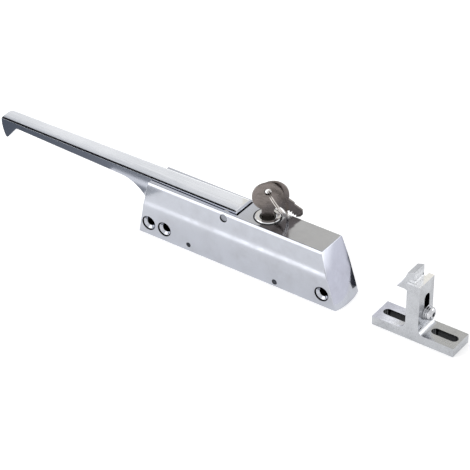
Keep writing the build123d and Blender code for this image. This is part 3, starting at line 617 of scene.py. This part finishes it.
def wire_tree(name, rise):
    """A wire wound round Z. Rise is how its height grows along it, as pairs of shares."""
    tree = bpy.data.node_groups.new(name, "GeometryNodeTree")
    tree.interface.new_socket("Geometry", in_out="OUTPUT", socket_type="NodeSocketGeometry")
    for label, kind in (
        ("Coil Radius", "NodeSocketFloat"),
        ("Height", "NodeSocketFloat"),
        ("Turns", "NodeSocketFloat"),
        ("Wire Radius", "NodeSocketFloat"),
        ("Wire Sides", "NodeSocketInt"),
        ("Steps Per Turn", "NodeSocketInt"),
        ("Finish", "NodeSocketMaterial"),
    ):
        tree.interface.new_socket(label, in_out="INPUT", socket_type=kind)
    given = add_node(tree, "NodeGroupInput").outputs
    spiral = add_node(
        tree,
        "GeometryNodeCurveSpiral",
        {
            "Resolution": given["Steps Per Turn"],
            "Rotations": given["Turns"],
            "Start Radius": given["Coil Radius"],
            "End Radius": given["Coil Radius"],
            "Height": 0.0,
        },
    )
    along = add_node(tree, "GeometryNodeSplineParameter").outputs["Factor"]
    growth = add_node(tree, "ShaderNodeFloatCurve", {"Value": along})
    line = growth.mapping.curves[0]
    while len(line.points) < len(rise):
        line.points.new(0.5, 0.5)
    for point, place in zip(line.points, rise):
        point.location = place
        point.handle_type = "AUTO_CLAMPED"
    growth.mapping.update()
    height = add_node(
        tree, "ShaderNodeMath", {0: growth.outputs[0], 1: given["Height"]}, operation="MULTIPLY"
    )
    lift = add_node(tree, "ShaderNodeCombineXYZ", {"Z": height.outputs[0]})
    wound = add_node(
        tree,
        "GeometryNodeSetPosition",
        {"Geometry": spiral.outputs[0], "Offset": lift.outputs[0]},
    )
    section = add_node(
        tree,
        "GeometryNodeCurvePrimitiveCircle",
        {"Resolution": given["Wire Sides"], "Radius": given["Wire Radius"]},
    )
    tube = add_node(
        tree,
        "GeometryNodeCurveToMesh",
        {"Curve": wound.outputs[0], "Profile Curve": section.outputs[0], "Fill Caps": True},
    )
    smooth = add_node(tree, "GeometryNodeSetShadeSmooth", {"Geometry": tube.outputs[0]})
    real = add_node(tree, "GeometryNodeRealizeInstances", {"Geometry": smooth.outputs[0]})
    coated = add_node(
        tree,
        "GeometryNodeSetMaterial",
        {"Geometry": real.outputs[0], "Material": given["Finish"]},
    )
    add_node(tree, "NodeGroupOutput", {"Geometry": coated.outputs[0]})
    return tree


def grown(tree, place, slot, **inputs):
    """The plain mesh that a node tree makes with these inputs, moved to its place."""
    holder = bpy.data.objects.new("holder", bpy.data.meshes.new("holder"))
    bpy.context.scene.collection.objects.link(holder)
    modifier = holder.modifiers.new("Wound", "NODES")
    modifier.node_group = tree
    inputs["Finish"] = finish(slot)
    for item in tree.interface.items_tree:
        label = item.name.replace(" ", "_")
        if item.in_out == "INPUT":
            modifier[item.identifier] = inputs.get(label, inputs.get(item.name))
    view = bpy.context.evaluated_depsgraph_get()
    mesh = bpy.data.meshes.new_from_object(holder.evaluated_get(view))
    bpy.data.objects.remove(holder)
    mesh.transform(place)
    mesh.materials.clear()
    bm = bmesh.new()
    bm.from_mesh(mesh)
    bmesh.ops.remove_doubles(bm, verts=bm.verts, dist=WELD)
    bmesh.ops.recalc_face_normals(bm, faces=bm.faces)
    bm.to_mesh(mesh)
    bm.free()
    return mesh


def turned(profile, centre):
    """A bmesh turned about the upright line through a centre, from radius and height."""
    bm = bmesh.new()
    ring = [bm.verts.new((centre.x + r, centre.y, z)) for r, z in profile]
    edges = [bm.edges.new(pair) for pair in zip(ring, ring[1:] + ring[:1])]
    bmesh.ops.spin(
        bm,
        geom=ring + edges,
        cent=(centre.x, centre.y, 0),
        axis=(0, 0, 1),
        angle=math.tau,
        steps=96,
        use_duplicate=False,
    )
    bmesh.ops.remove_doubles(bm, verts=bm.verts, dist=WELD)
    bmesh.ops.recalc_face_normals(bm, faces=bm.faces)
    for edge in bm.edges:
        edge.smooth = edge.calc_face_angle(0) < math.radians(20)
    return bm


def middle(node):
    low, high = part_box(node)
    return (low + high) / 2


# Pieces


class LATCH_OT_case(bpy.types.Operator):
    """Polished case with its rolled ridge, pin ends and rubber rest"""

    bl_idname = "latch.case"
    bl_label = "Case"

    # In millimetres, the ridge's height above the case's foot, half the width of its
    # fillet, how far in the countersinks reach at the most, and how near the top's points
    # lie to it. Then the second, flatter cut of the top edge, as shares of the first one's
    # inset: its width and its drop.
    RIDGE_HEIGHT = 26.6
    RIDGE_FILLET = 0.2
    SINK_DEPTH = 3.0
    TOP_BAND = 0.02
    SECOND_CUT = (0.4, 0.16)

    def execute(self, context):
        s = sizes()
        bm = joined("case_shell")
        self.roll_ridge(bm, s.ridge_roll)
        self.lip_sinks(bm, s.sink_lip)
        low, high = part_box("case_shell")
        for side in (-1, 1):
            top = high.z - self.TOP_BAND * MM
            half = max(side * v.co.y for v in bm.verts if v.co.z > top)
            start, end = (Vector((x, side * half, high.z)) for x in (low.x, high.x))
            planed(bm, start, end, side, s.rim_inset, s.rim_drop)
            step = Vector((0, -side * s.rim_inset, 0))
            across, down = (share * s.rim_inset for share in self.SECOND_CUT)
            planed(bm, start + step, end + step, side, across, down)
        rounded(bm, s.casting_edge)
        as_piece(bm, "case_casting", "polished_zinc", "case", "case_shell")
        for node, name in (
            ("handle_pivot_pin", "pivot_pin"),
            ("front_guide_pin", "front_pin"),
            ("rear_guide_pin", "rear_pin"),
        ):
            look = None if name == "pivot_pin" else "dark_pin"
            finish_solid(node, name, "ground_pin", "case", s.pin_edge, look=look)
        finish_solid("rest_bumper", "rubber_rest", "black_rubber", "case", s.casting_edge)
        return {"FINISHED"}

    def lip_sinks(self, bm, depth):
        """Give each countersink an upright lip, by bending its cone near the face. The lips
        are given full painted shade, which paints them dark."""
        bm.normal_update()
        painted_shade_amount = bm.faces.layers.float.new("painted_shade_amount")
        face_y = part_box("case_shell")[0].y

        def cone(face):
            inner = face.calc_center_median().y
            slanted = -0.8 < face.normal.y < -0.6
            return slanted and inner < face_y + self.SINK_DEPTH * MM

        radial = [e for e in bm.edges if e.is_manifold and all(cone(f) for f in e.link_faces)]
        made = bmesh.ops.subdivide_edges(bm, edges=radial, cuts=1)
        for v in (g for g in made["geom_inner"] if isinstance(g, bmesh.types.BMVert)):
            ends = [e.other_vert(v) for e in v.link_edges]
            outer = [o for o in ends if o.co.y < face_y + TOUCH]
            if outer:
                v.co = outer[0].co + Vector((0, depth, 0))
                for face in outer[0].link_faces:
                    if v in face.verts:
                        # Full painted shade on the lip.
                        face[painted_shade_amount] = 1.0

    def roll_ridge(self, bm, reach):
        """Spread the ridge's narrow fillet, as a buffing wheel does."""
        low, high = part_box("case_shell")
        ridge = low.z + self.RIDGE_HEIGHT * MM
        for v in bm.verts:
            off_side = min(abs(v.co.y - low.y), abs(v.co.y - high.y))
            if abs(v.co.z - ridge) < self.RIDGE_FILLET * MM and off_side < TOUCH:
                v.co.z += math.copysign(reach, v.co.z - ridge)


class LATCH_OT_handle(bpy.types.Operator):
    """Linished pull handle with its bushes, toe pin and roller"""

    bl_idname = "latch.handle"
    bl_label = "Handle"

    def execute(self, context):
        s = sizes()
        bm = joined("handle_lever")
        bm.normal_update()
        for side in (-1, 1):
            start, end = long_edge(bm, side)
            planed(bm, start, end, side, s.chamfer_width, s.chamfer_drop)
        rounded(bm, s.handle_edge, sharp=50.0)
        as_piece(bm, "pull_handle", "polished_handle", "handle", "handle_lever")
        finish_solid("pivot_bushes", "nylon_bushes", "white_nylon", "handle", s.small_edge)
        finish_solid("toe_roller", "nylon_roller", "white_nylon", "handle", s.small_edge)
        finish_solid("toe_pin", "roller_pin", "plated_steel", "handle", s.small_edge)
        return {"FINISHED"}


class LATCH_OT_bolt(bpy.types.Operator):
    """Sliding bolt bar, its nose and rivets, and its spring with closed ends"""

    bl_idname = "latch.bolt"
    bl_label = "Bolt"

    def execute(self, context):
        s = sizes()
        finish_solid("bolt_bar", "slide_bar", "plated_steel", "bolt", s.small_edge)
        finish_solid("bolt_nose", "nose_block", "plated_steel", "bolt", s.casting_edge)
        finish_solid("nose_rivets", "rivet_pair", "plain_brass", "bolt", s.small_edge)
        low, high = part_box("bolt_spring")
        wire = s.spring_wire
        start = Vector((low.x + wire / 2, (low.y + high.y) / 2, (low.z + high.z) / 2))
        mesh = grown(
            wire_tree("Compression spring", [(0, 0), (0.09, 0.035), (0.91, 0.965), (1, 1)]),
            Matrix.Translation(start) @ Matrix.Rotation(math.radians(90), 4, "Y"),
            "spring_steel",
            Coil_Radius=(high.z - low.z - wire) / 2,
            Height=high.x - low.x - wire,
            Turns=9.0,
            Wire_Radius=wire / 2,
            Wire_Sides=14,
            Steps_Per_Turn=48,
        )
        far = Vector((high.x - wire / 2, start.y, start.z))
        place_piece(
            mesh, "return_spring", "spring_steel", "case", "bolt_spring",
            ends=("bolt", start, far),
        )
        return {"FINISHED"}


class LATCH_OT_lock(bpy.types.Operator):
    """Chromed lock: turned barrel with its bezel and thread, nut, plug, tongue and screw"""

    bl_idname = "latch.lock"
    bl_label = "Lock"

    # Radii of the barrel in millimetres, and the bevel at its threaded end.
    BORE = 6.2
    BODY = 8.0
    LIP = 0.5

    def execute(self, context):
        s = sizes()
        self.barrel(s)
        finish_solid("lock_nut", "barrel_nut", "plain_brass", "case", s.small_edge)
        # The plug's face is painted dark, a painted reflection of the keys over it.
        finish_solid(
            "lock_plug", "plug_core", "lock_chrome", "lock_core", s.small_edge, look="plug_painted_reflection"
        )
        finish_solid("lock_cam", "lock_tongue", "plain_brass", "lock_core", s.small_edge)
        finish_solid("cam_screw", "tongue_screw", "plated_steel", "lock_core", s.small_edge)
        return {"FINISHED"}

    def barrel(self, s):
        """The barrel with its bezel, a black ring under it that paints the shade round the bezel's foot, and
        the thread below.
        """
        low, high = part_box("lock_barrel")
        centre = (low + high) / 2
        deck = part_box("case_shell")[1].z
        nut_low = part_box("lock_nut")[0].z
        bezel, bore, body, lip = s.bezel, self.BORE * MM, self.BODY * MM, self.LIP * MM
        core = body - s.thread_rise
        profile = [
            (bore, low.z),
            (core - lip, low.z),
            (core, low.z + lip),
            (core, nut_low - lip),
            (body, nut_low),
            (body, deck),
            (bezel, deck),
            (bezel, high.z - 0.65 * (high.z - deck)),
            (bezel - s.bezel_slope, high.z),
            (bore + 0.9 * MM, high.z),
            (bore + 0.3 * MM, high.z - 0.25 * MM),
            (bore, high.z - 0.5 * MM),
        ]
        bm = turned(profile, centre)
        as_piece(bm, "lock_body", "lock_chrome", "case", "lock_barrel")
        # A black rubber ring round the bezel's foot, put there as painted shade for the dark line round the
        # bezel.
        hidden = bezel - 0.5 * MM
        shade_ring = [
            (hidden, deck),
            (s.shade_ring, deck),
            (s.shade_ring, deck + s.seal_height * 0.6),
            (s.shade_ring - s.seal_height * 0.4, deck + s.seal_height),
            (hidden, deck + s.seal_height),
        ]
        as_piece(turned(shade_ring, centre), "lock_seal", "black_rubber", "case")
        turns = math.floor((nut_low - low.z - 2 * lip) / s.thread_pitch)
        mesh = grown(
            wire_tree("Thread crest", [(0, 0), (1, 1)]),
            Matrix.Translation((centre.x, centre.y, low.z + lip)),
            "lock_chrome",
            Coil_Radius=core,
            Height=turns * s.thread_pitch,
            Turns=float(turns),
            Wire_Radius=s.thread_rise,
            Wire_Sides=4,
            Steps_Per_Turn=72,
        )
        place_piece(mesh, "barrel_thread", "lock_chrome", "case")


class LATCH_OT_keys(bpy.types.Operator):
    """Both keys, with rounded bows and a groove, cut by milling, along each blade"""

    bl_idname = "latch.keys"
    bl_label = "Keys"

    def execute(self, context):
        s = sizes()
        for node, name, body in (
            ("key", "door_key", "inserted_key"),
            ("spare_key", "second_key", "hanging_key"),
        ):
            finish_solid(node, name, "key_nickel", body, s.key_edge)
        return {"FINISHED"}


class LATCH_OT_ring(bpy.types.Operator):
    """Split ring of two flat turns joined by a step"""

    bl_idname = "latch.ring"
    bl_label = "Split ring"

    # As in the solids, in degrees: how far the keys face round, how steeply the ring
    # hangs from their holes, and its turn about that line.
    KEY_TURN = 35.3
    DROOP = 55.0
    TWIST = 10.0

    def execute(self, context):
        s = sizes()
        facing = math.radians(self.KEY_TURN)
        normal = Vector((math.sin(facing), -math.cos(facing), 0))
        droop = math.radians(self.DROOP)
        right = Vector((math.cos(facing), math.sin(facing), 0))
        across = right * math.cos(droop) - Vector((0, 0, math.sin(droop)))
        upward = normal.cross(across)
        turn = Matrix((normal, upward.cross(normal), upward)).transposed().to_4x4()
        twist = Matrix.Rotation(math.radians(-self.TWIST), 4, "Y")
        place = Matrix.Translation(middle("split_ring")) @ turn @ twist
        low = Matrix.Translation((0, 0, -s.ring_step / 2))
        mesh = grown(
            wire_tree("Split ring", [(0, 0), (0.44, 0), (0.56, 1), (1, 1)]),
            place @ low @ Matrix.Rotation(math.radians(90), 4, "Z"),
            "ring_wire",
            Coil_Radius=s.ring_radius,
            Height=s.ring_step,
            Turns=1.98,
            Wire_Radius=s.ring_wire / 2,
            Wire_Sides=16,
            Steps_Per_Turn=96,
        )
        place_piece(mesh, "double_ring", "ring_wire", "key_ring", "split_ring")
        return {"FINISHED"}


class LATCH_OT_strike(bpy.types.Operator):
    """Satin strike and the barbed hook that slides in its post"""

    bl_idname = "latch.strike"
    bl_label = "Strike"

    def execute(self, context):
        s = sizes()
        finish_solid("strike_bracket", "strike_casting", "satin_zinc", "strike", s.strike_edge)
        finish_solid("strike_hook", "barbed_hook", "satin_zinc", "hook_slide", s.strike_edge)
        return {"FINISHED"}


class LATCH_OT_clamp(bpy.types.Operator):
    """Button-head screw with its two washers"""

    bl_idname = "latch.clamp"
    bl_label = "Clamp screw"

    def execute(self, context):
        s = sizes()
        for node, name in (
            ("clamp_screw", "button_screw"),
            ("flat_washer", "plain_washer"),
            ("lock_washer", "spring_washer"),
        ):
            finish_solid(node, name, "bright_screw", "hook_slide", s.small_edge)
        return {"FINISHED"}


class LATCH_OT_painted_shade(bpy.types.Operator):
    """Painted shade in bores, slots and gaps, from how much of its sky each face sees"""

    bl_idname = "latch.grime"
    bl_label = "Painted shade"

    # Pieces with narrow places, how far out in millimetres they are searched, and the
    # share of the sky below which a face takes full painted shade, and above which it takes none.
    SEARCH = (
        ("case_casting", 12.0, 0.25, 0.5),
        ("strike_casting", 14.0, 0.5, 0.63),
        ("button_screw", 3.0, 0.3, 0.6),
        ("pivot_pin", 3.0, 0.65, 0.8),
        ("front_pin", 3.0, 0.85, 0.98),
        ("rear_pin", 3.0, 0.85, 0.98),
    )
    # Rays from each spot, the turn between them, how far in millimetres they start off
    # the face, and the share of its face below which a triangle isn't searched.
    RAYS = 40
    GOLDEN_TURN = math.pi * (3 - math.sqrt(5))
    LIFT = 0.1
    SMALL_SHARE = 0.02

    def execute(self, context):
        points, faces = [], []
        for piece in PIECES:
            first = len(points)
            points += [v.co.copy() for v in piece.data.vertices]
            faces += [[first + i for i in p.vertices] for p in piece.data.polygons]
        solid = BVHTree.FromPolygons(points, faces)
        for name, reach, dark, clean in self.SEARCH:
            mesh = bpy.data.objects[name].data
            mesh.calc_loop_triangles()
            seen = [0.0] * len(mesh.polygons)
            for triangle in mesh.loop_triangles:
                polygon = mesh.polygons[triangle.polygon_index]
                share = triangle.area / max(polygon.area, 1e-12)
                if share > self.SMALL_SHARE:
                    sky = self.sky(solid, triangle.center, polygon.normal, reach * MM)
                    seen[polygon.index] += sky * share
            if "painted_shade_amount" not in mesh.attributes:
                mesh.attributes.new("painted_shade_amount", "FLOAT", "FACE")
            painted_shade_amount = mesh.attributes["painted_shade_amount"].data
            for i, sky in enumerate(seen):
                painted_shade_amount[i].value = min(1, max(painted_shade_amount[i].value, (clean - sky) / (clean - dark)))
        return {"FINISHED"}

    def sky(self, solid, spot, normal, reach):
        """The share of even directions from a spot that meet nothing within reach."""
        side = normal.orthogonal().normalized()
        other = normal.cross(side)
        start = spot + normal * self.LIFT * MM
        clear = 0
        for i in range(self.RAYS):
            out = math.sqrt((i + 0.5) / self.RAYS)
            turn = i * self.GOLDEN_TURN
            ray = side * (out * math.cos(turn)) + other * (out * math.sin(turn))
            ray += normal * math.sqrt(1 - out * out)
            clear += solid.ray_cast(start, ray, reach)[0] is None
        return clear / self.RAYS


# Stage

CAMERA_PLACE = Vector((0.82249, -1.18950, 1.03813))
CAMERA_RIGHT = Vector((0.81762, 0.57574, -0.00415))
CAMERA_UP = Vector((-0.33238, 0.47790, 0.81310))
CAMERA_BACK = Vector((0.47012, -0.66343, 0.58211))


def sheet_mesh(name, x0, x1, y0, y1, z):
    """A level sheet that belongs to the stage."""
    mesh = bpy.data.meshes.new(name)
    mesh.from_pydata([(x0, y0, z), (x1, y0, z), (x1, y1, z), (x0, y1, z)], [], [(0, 1, 2, 3)])
    made = bpy.data.objects.new(name, mesh)
    bpy.context.scene.collection.objects.link(made)
    return made


class LATCH_OT_stage(bpy.types.Operator):
    """White paper, reflecting cards, lamps and the camera"""

    bl_idname = "latch.stage"
    bl_label = "Stage"

    def execute(self, context):
        context.scene.view_settings.view_transform = "Standard"
        self.paper()
        self.room()
        self.cards()
        self.lamp("front softbox", (-0.45, -0.66, 0.60), (0.0, -0.02, 0.01), 0.34, 2.6)
        self.lamp("top softbox", (-0.35, 0.75, 0.75), (0.0, -0.02, 0.01), 0.8, 3.0)
        self.camera()
        return {"FINISHED"}

    def seen_factor(self, tree):
        """1 where the camera, a mirror or a glass looks, else 0."""
        path = add_node(tree, "ShaderNodeLightPath")
        first = add_node(
            tree,
            "ShaderNodeMath",
            {0: path.outputs["Is Camera Ray"], 1: path.outputs["Is Glossy Ray"]},
            operation="MAXIMUM",
        )
        return add_node(
            tree,
            "ShaderNodeMath",
            {0: first.outputs[0], 1: path.outputs["Is Transmission Ray"]},
            operation="MAXIMUM",
        ).outputs[0]

    def paper(self):
        """Pale paper, lifted a little where it is seen, so that it meets the white room."""
        ground = CAD_BOX[0][2] - 0.05 * MM
        floor = sheet_mesh("paper", -2.5, 2.5, -2.5, 2.5, ground)
        material = bpy.data.materials.new("white_paper")
        material.use_nodes = True
        tree = material.node_tree
        tree.nodes.clear()
        paper = add_node(tree, "ShaderNodeBsdfDiffuse", {"Color": studio().floor})
        lift = add_node(
            tree,
            "ShaderNodeMath",
            {0: self.seen_factor(tree), 1: studio().paper_lift},
            operation="MULTIPLY",
        )
        glow = add_node(tree, "ShaderNodeEmission", {"Strength": lift.outputs[0]})
        both = add_node(tree, "ShaderNodeAddShader", {0: paper.outputs[0], 1: glow.outputs[0]})
        add_node(tree, "ShaderNodeOutputMaterial", {"Surface": both.outputs[0]})
        floor.data.materials.append(material)

    def room(self):
        """White all round, which lights the latch less than it is seen."""
        world = bpy.data.worlds.new("white_room")
        bpy.context.scene.world = world
        world.use_nodes = True
        tree = world.node_tree
        tree.nodes.clear()
        level = add_node(
            tree,
            "ShaderNodeMapRange",
            {"Value": self.seen_factor(tree), "To Min": studio().room, "To Max": 1.0},
        )
        white = add_node(
            tree, "ShaderNodeBackground", {"Color": (1, 1, 1, 1), "Strength": level.outputs[0]}
        )
        add_node(tree, "ShaderNodeOutputWorld", {"Surface": white.outputs[0]})

    def cards(self):
        """Cards and flags that only polished metal sees, as are set up to picture chrome."""
        ground = CAD_BOX[0][2] + 0.1 * MM
        # Black over the edges that run along X, with white in front of it and behind.
        self.arch(
            "edge_flag", 3.0, (-5.0, -0.7),
            [(44, "FFFFFF", 1.0), (49, "F2F2F4", 1.0), (55, "DADCE0", 1.0), (60, "9A9CA4", 1.0),
             (65, "101216", 1.0), (114, "101216", 1.0), (118, "FFFFFF", 2.2),
             (178, "FFFFFF", 2.2)],
        )
        # Slate to grey for the handle's front side, which darkens towards its tip.
        near = [(-0.45, "6A717C"), (-0.27, "7C838D"), (-0.19, "989DA5"), (-0.118, "B4B8BE")]
        far = ["8A9098", "9AA0A8", "B8BCC2", "CDD0D4"]
        self.flat("handle_card_near", ground, (-0.030, -0.078), [(x, (t, 1.0)) for x, t in near])
        self.flat(
            "handle_card_far", ground, (-0.078, -0.108),
            [(x, (tone, 1.0), (distant, 1.0)) for (x, tone), distant in zip(near, far)],
        )
        # Warm grey for the case's top, and a bright line for its ridge.
        warm = ("EFEBE0", 1.0)
        self.flat("deck_card", 0.387, (0.33, 0.56), [(-0.275, warm), (0.10, warm)])
        self.flat(
            "ridge_card", ground + 0.1 * MM, (-0.0725, -0.0665),
            [(-0.16, ("FFFFFF", 1.6)), (0.10, ("FFFFFF", 2.6))],
        )
        # For the blunt end: dark behind it, lilac beside it, and a glow higher up.
        self.card(
            "rear_card",
            [((0.085, 0.01, ground), (0.085, 0.30, ground), ("30323A", 1.0)),
             ((0.102, 0.01, ground), (0.34, 0.30, ground), ("30323A", 1.0))],
        )
        lilac, slate, glow = ("F8F7FF", 1.17), ("50525E", 1.0), ("FFFFFF", 2.8)
        plain = (lilac, lilac, lilac, slate)
        for name, low, high, upper in (
            ("nose_card_low", ground, 0.012, plain),
            ("nose_card_high", 0.012, 0.034, (glow, glow, lilac, slate)),
        ):
            columns = zip((-0.060, 0.0, 0.045, 0.060), plain, upper)
            self.card(
                name,
                [((0.118, y, low), (0.118, y, high), foot, head) for y, foot, head in columns],
            )
        # White for the fillet at the foot of the strike's post, and for the countersinks.
        self.card(
            "foot_card",
            [((0.28, 0.24, 0.05), (0.28, 0.24, 0.24), ("FFFFFF", 2.6)),
             ((0.41, 0.11, 0.05), (0.41, 0.11, 0.24), ("FFFFFF", 2.6))],
        )
        self.card(
            "sink_card",
            [((0.2, -2.5, 0.05), (0.2, -2.5, 0.9), ("FFFFFF", 1.7)),
             ((1.5, -2.0, 0.05), (1.5, -2.0, 0.9), ("FFFFFF", 1.7))],
        )

    def arch(self, name, radius, sides, tones):
        """A card bent over the latch along X, with a tone at each angle up from the rear."""
        rows = []
        for angle, code, strength in tones:
            y = radius * math.cos(math.radians(angle))
            z = radius * math.sin(math.radians(angle))
            rows.append(((sides[0], y, z), (sides[1], y, z), (code, strength)))
        self.card(name, rows)

    def flat(self, name, height, depth, tones):
        """A level card, with a tone at each place along X, or one at each of its sides."""
        self.card(
            name, [((x, depth[0], height), (x, depth[1], height), *tone) for x, *tone in tones]
        )

    def card(self, name, rows):
        """A strip of quads between rows of two points, which glow in one tone or in two."""
        mesh = bpy.data.meshes.new(name)
        points = [point for row in rows for point in row[:2]]
        faces = [(i, i + 1, i + 3, i + 2) for i in range(0, len(points) - 2, 2)]
        mesh.from_pydata(points, [], faces)
        tone = mesh.attributes.new("tone", "FLOAT_COLOR", "POINT")
        for i, row in enumerate(rows):
            for j, (code, strength) in enumerate((row[2], row[-1])):
                shown = [channel * strength for channel in linear(code)[:3]] + [1.0]
                tone.data[2 * i + j].color = shown
        made = bpy.data.objects.new(name, mesh)
        bpy.context.scene.collection.objects.link(made)
        material, tree, _, out = new_material(name)
        shade = add_node(tree, "ShaderNodeAttribute", attribute_name="tone")
        glow = add_node(tree, "ShaderNodeEmission", {"Color": shade.outputs["Color"]})
        tree.links.new(glow.outputs[0], out.inputs[0])
        mesh.materials.append(material)
        made.visible_camera = False
        made.visible_diffuse = False
        made.visible_shadow = False
        made.visible_transmission = False

    def lamp(self, name, place, aim, size, power):
        light = bpy.data.lights.new(name, "AREA")
        light.shape = "SQUARE"
        light.size = size
        light.energy = power
        made = bpy.data.objects.new(name, light)
        bpy.context.scene.collection.objects.link(made)
        made.visible_glossy = False
        made.location = place
        made.rotation_euler = (Vector(place) - Vector(aim)).to_track_quat("Z", "Y").to_euler()

    def camera(self):
        lens = bpy.data.cameras.new("camera")
        lens.lens = studio().lens
        lens.sensor_width = 36.0
        lens.clip_end = 20.0
        made = bpy.data.objects.new("camera", lens)
        bpy.context.scene.collection.objects.link(made)
        turn = Matrix((CAMERA_RIGHT, CAMERA_UP, CAMERA_BACK)).transposed().to_4x4()
        made.matrix_world = Matrix.Translation(CAMERA_PLACE) @ turn
        bpy.context.scene.camera = made


class LATCH_PT_panel(bpy.types.Panel):
    """Lists the latch's pieces, sizes and colours"""

    bl_label = "Door latch"
    bl_space_type = "VIEW_3D"
    bl_region_type = "UI"
    bl_category = "Latch"

    def draw(self, context):
        for operator in OPERATORS:
            self.layout.operator(operator.bl_idname)
        for group in (sizes(), colours(), studio()):
            box = self.layout.box()
            for name in group.__annotations__:
                box.prop(group, name)


OPERATORS = (
    LATCH_OT_case,
    LATCH_OT_handle,
    LATCH_OT_bolt,
    LATCH_OT_lock,
    LATCH_OT_keys,
    LATCH_OT_ring,
    LATCH_OT_strike,
    LATCH_OT_clamp,
    LATCH_OT_painted_shade,
    LATCH_OT_stage,
)
GROUPS = (LatchSizes, LatchColours, LatchStudio)


def register():
    for kind in GROUPS + OPERATORS + (LATCH_PT_panel,):
        bpy.utils.register_class(kind)
    bpy.types.Scene.latch_sizes = bpy.props.PointerProperty(type=LatchSizes)
    bpy.types.Scene.latch_colours = bpy.props.PointerProperty(type=LatchColours)
    bpy.types.Scene.latch_studio = bpy.props.PointerProperty(type=LatchStudio)


def unregister():
    del bpy.types.Scene.latch_studio
    del bpy.types.Scene.latch_colours
    del bpy.types.Scene.latch_sizes
    for kind in reversed(GROUPS + OPERATORS + (LATCH_PT_panel,)):
        bpy.utils.unregister_class(kind)


def main():
    register()
    for operator in OPERATORS:
        group, name = operator.bl_idname.split(".")
        getattr(getattr(bpy.ops, group), name)()


if __name__ == "__main__":
    main()
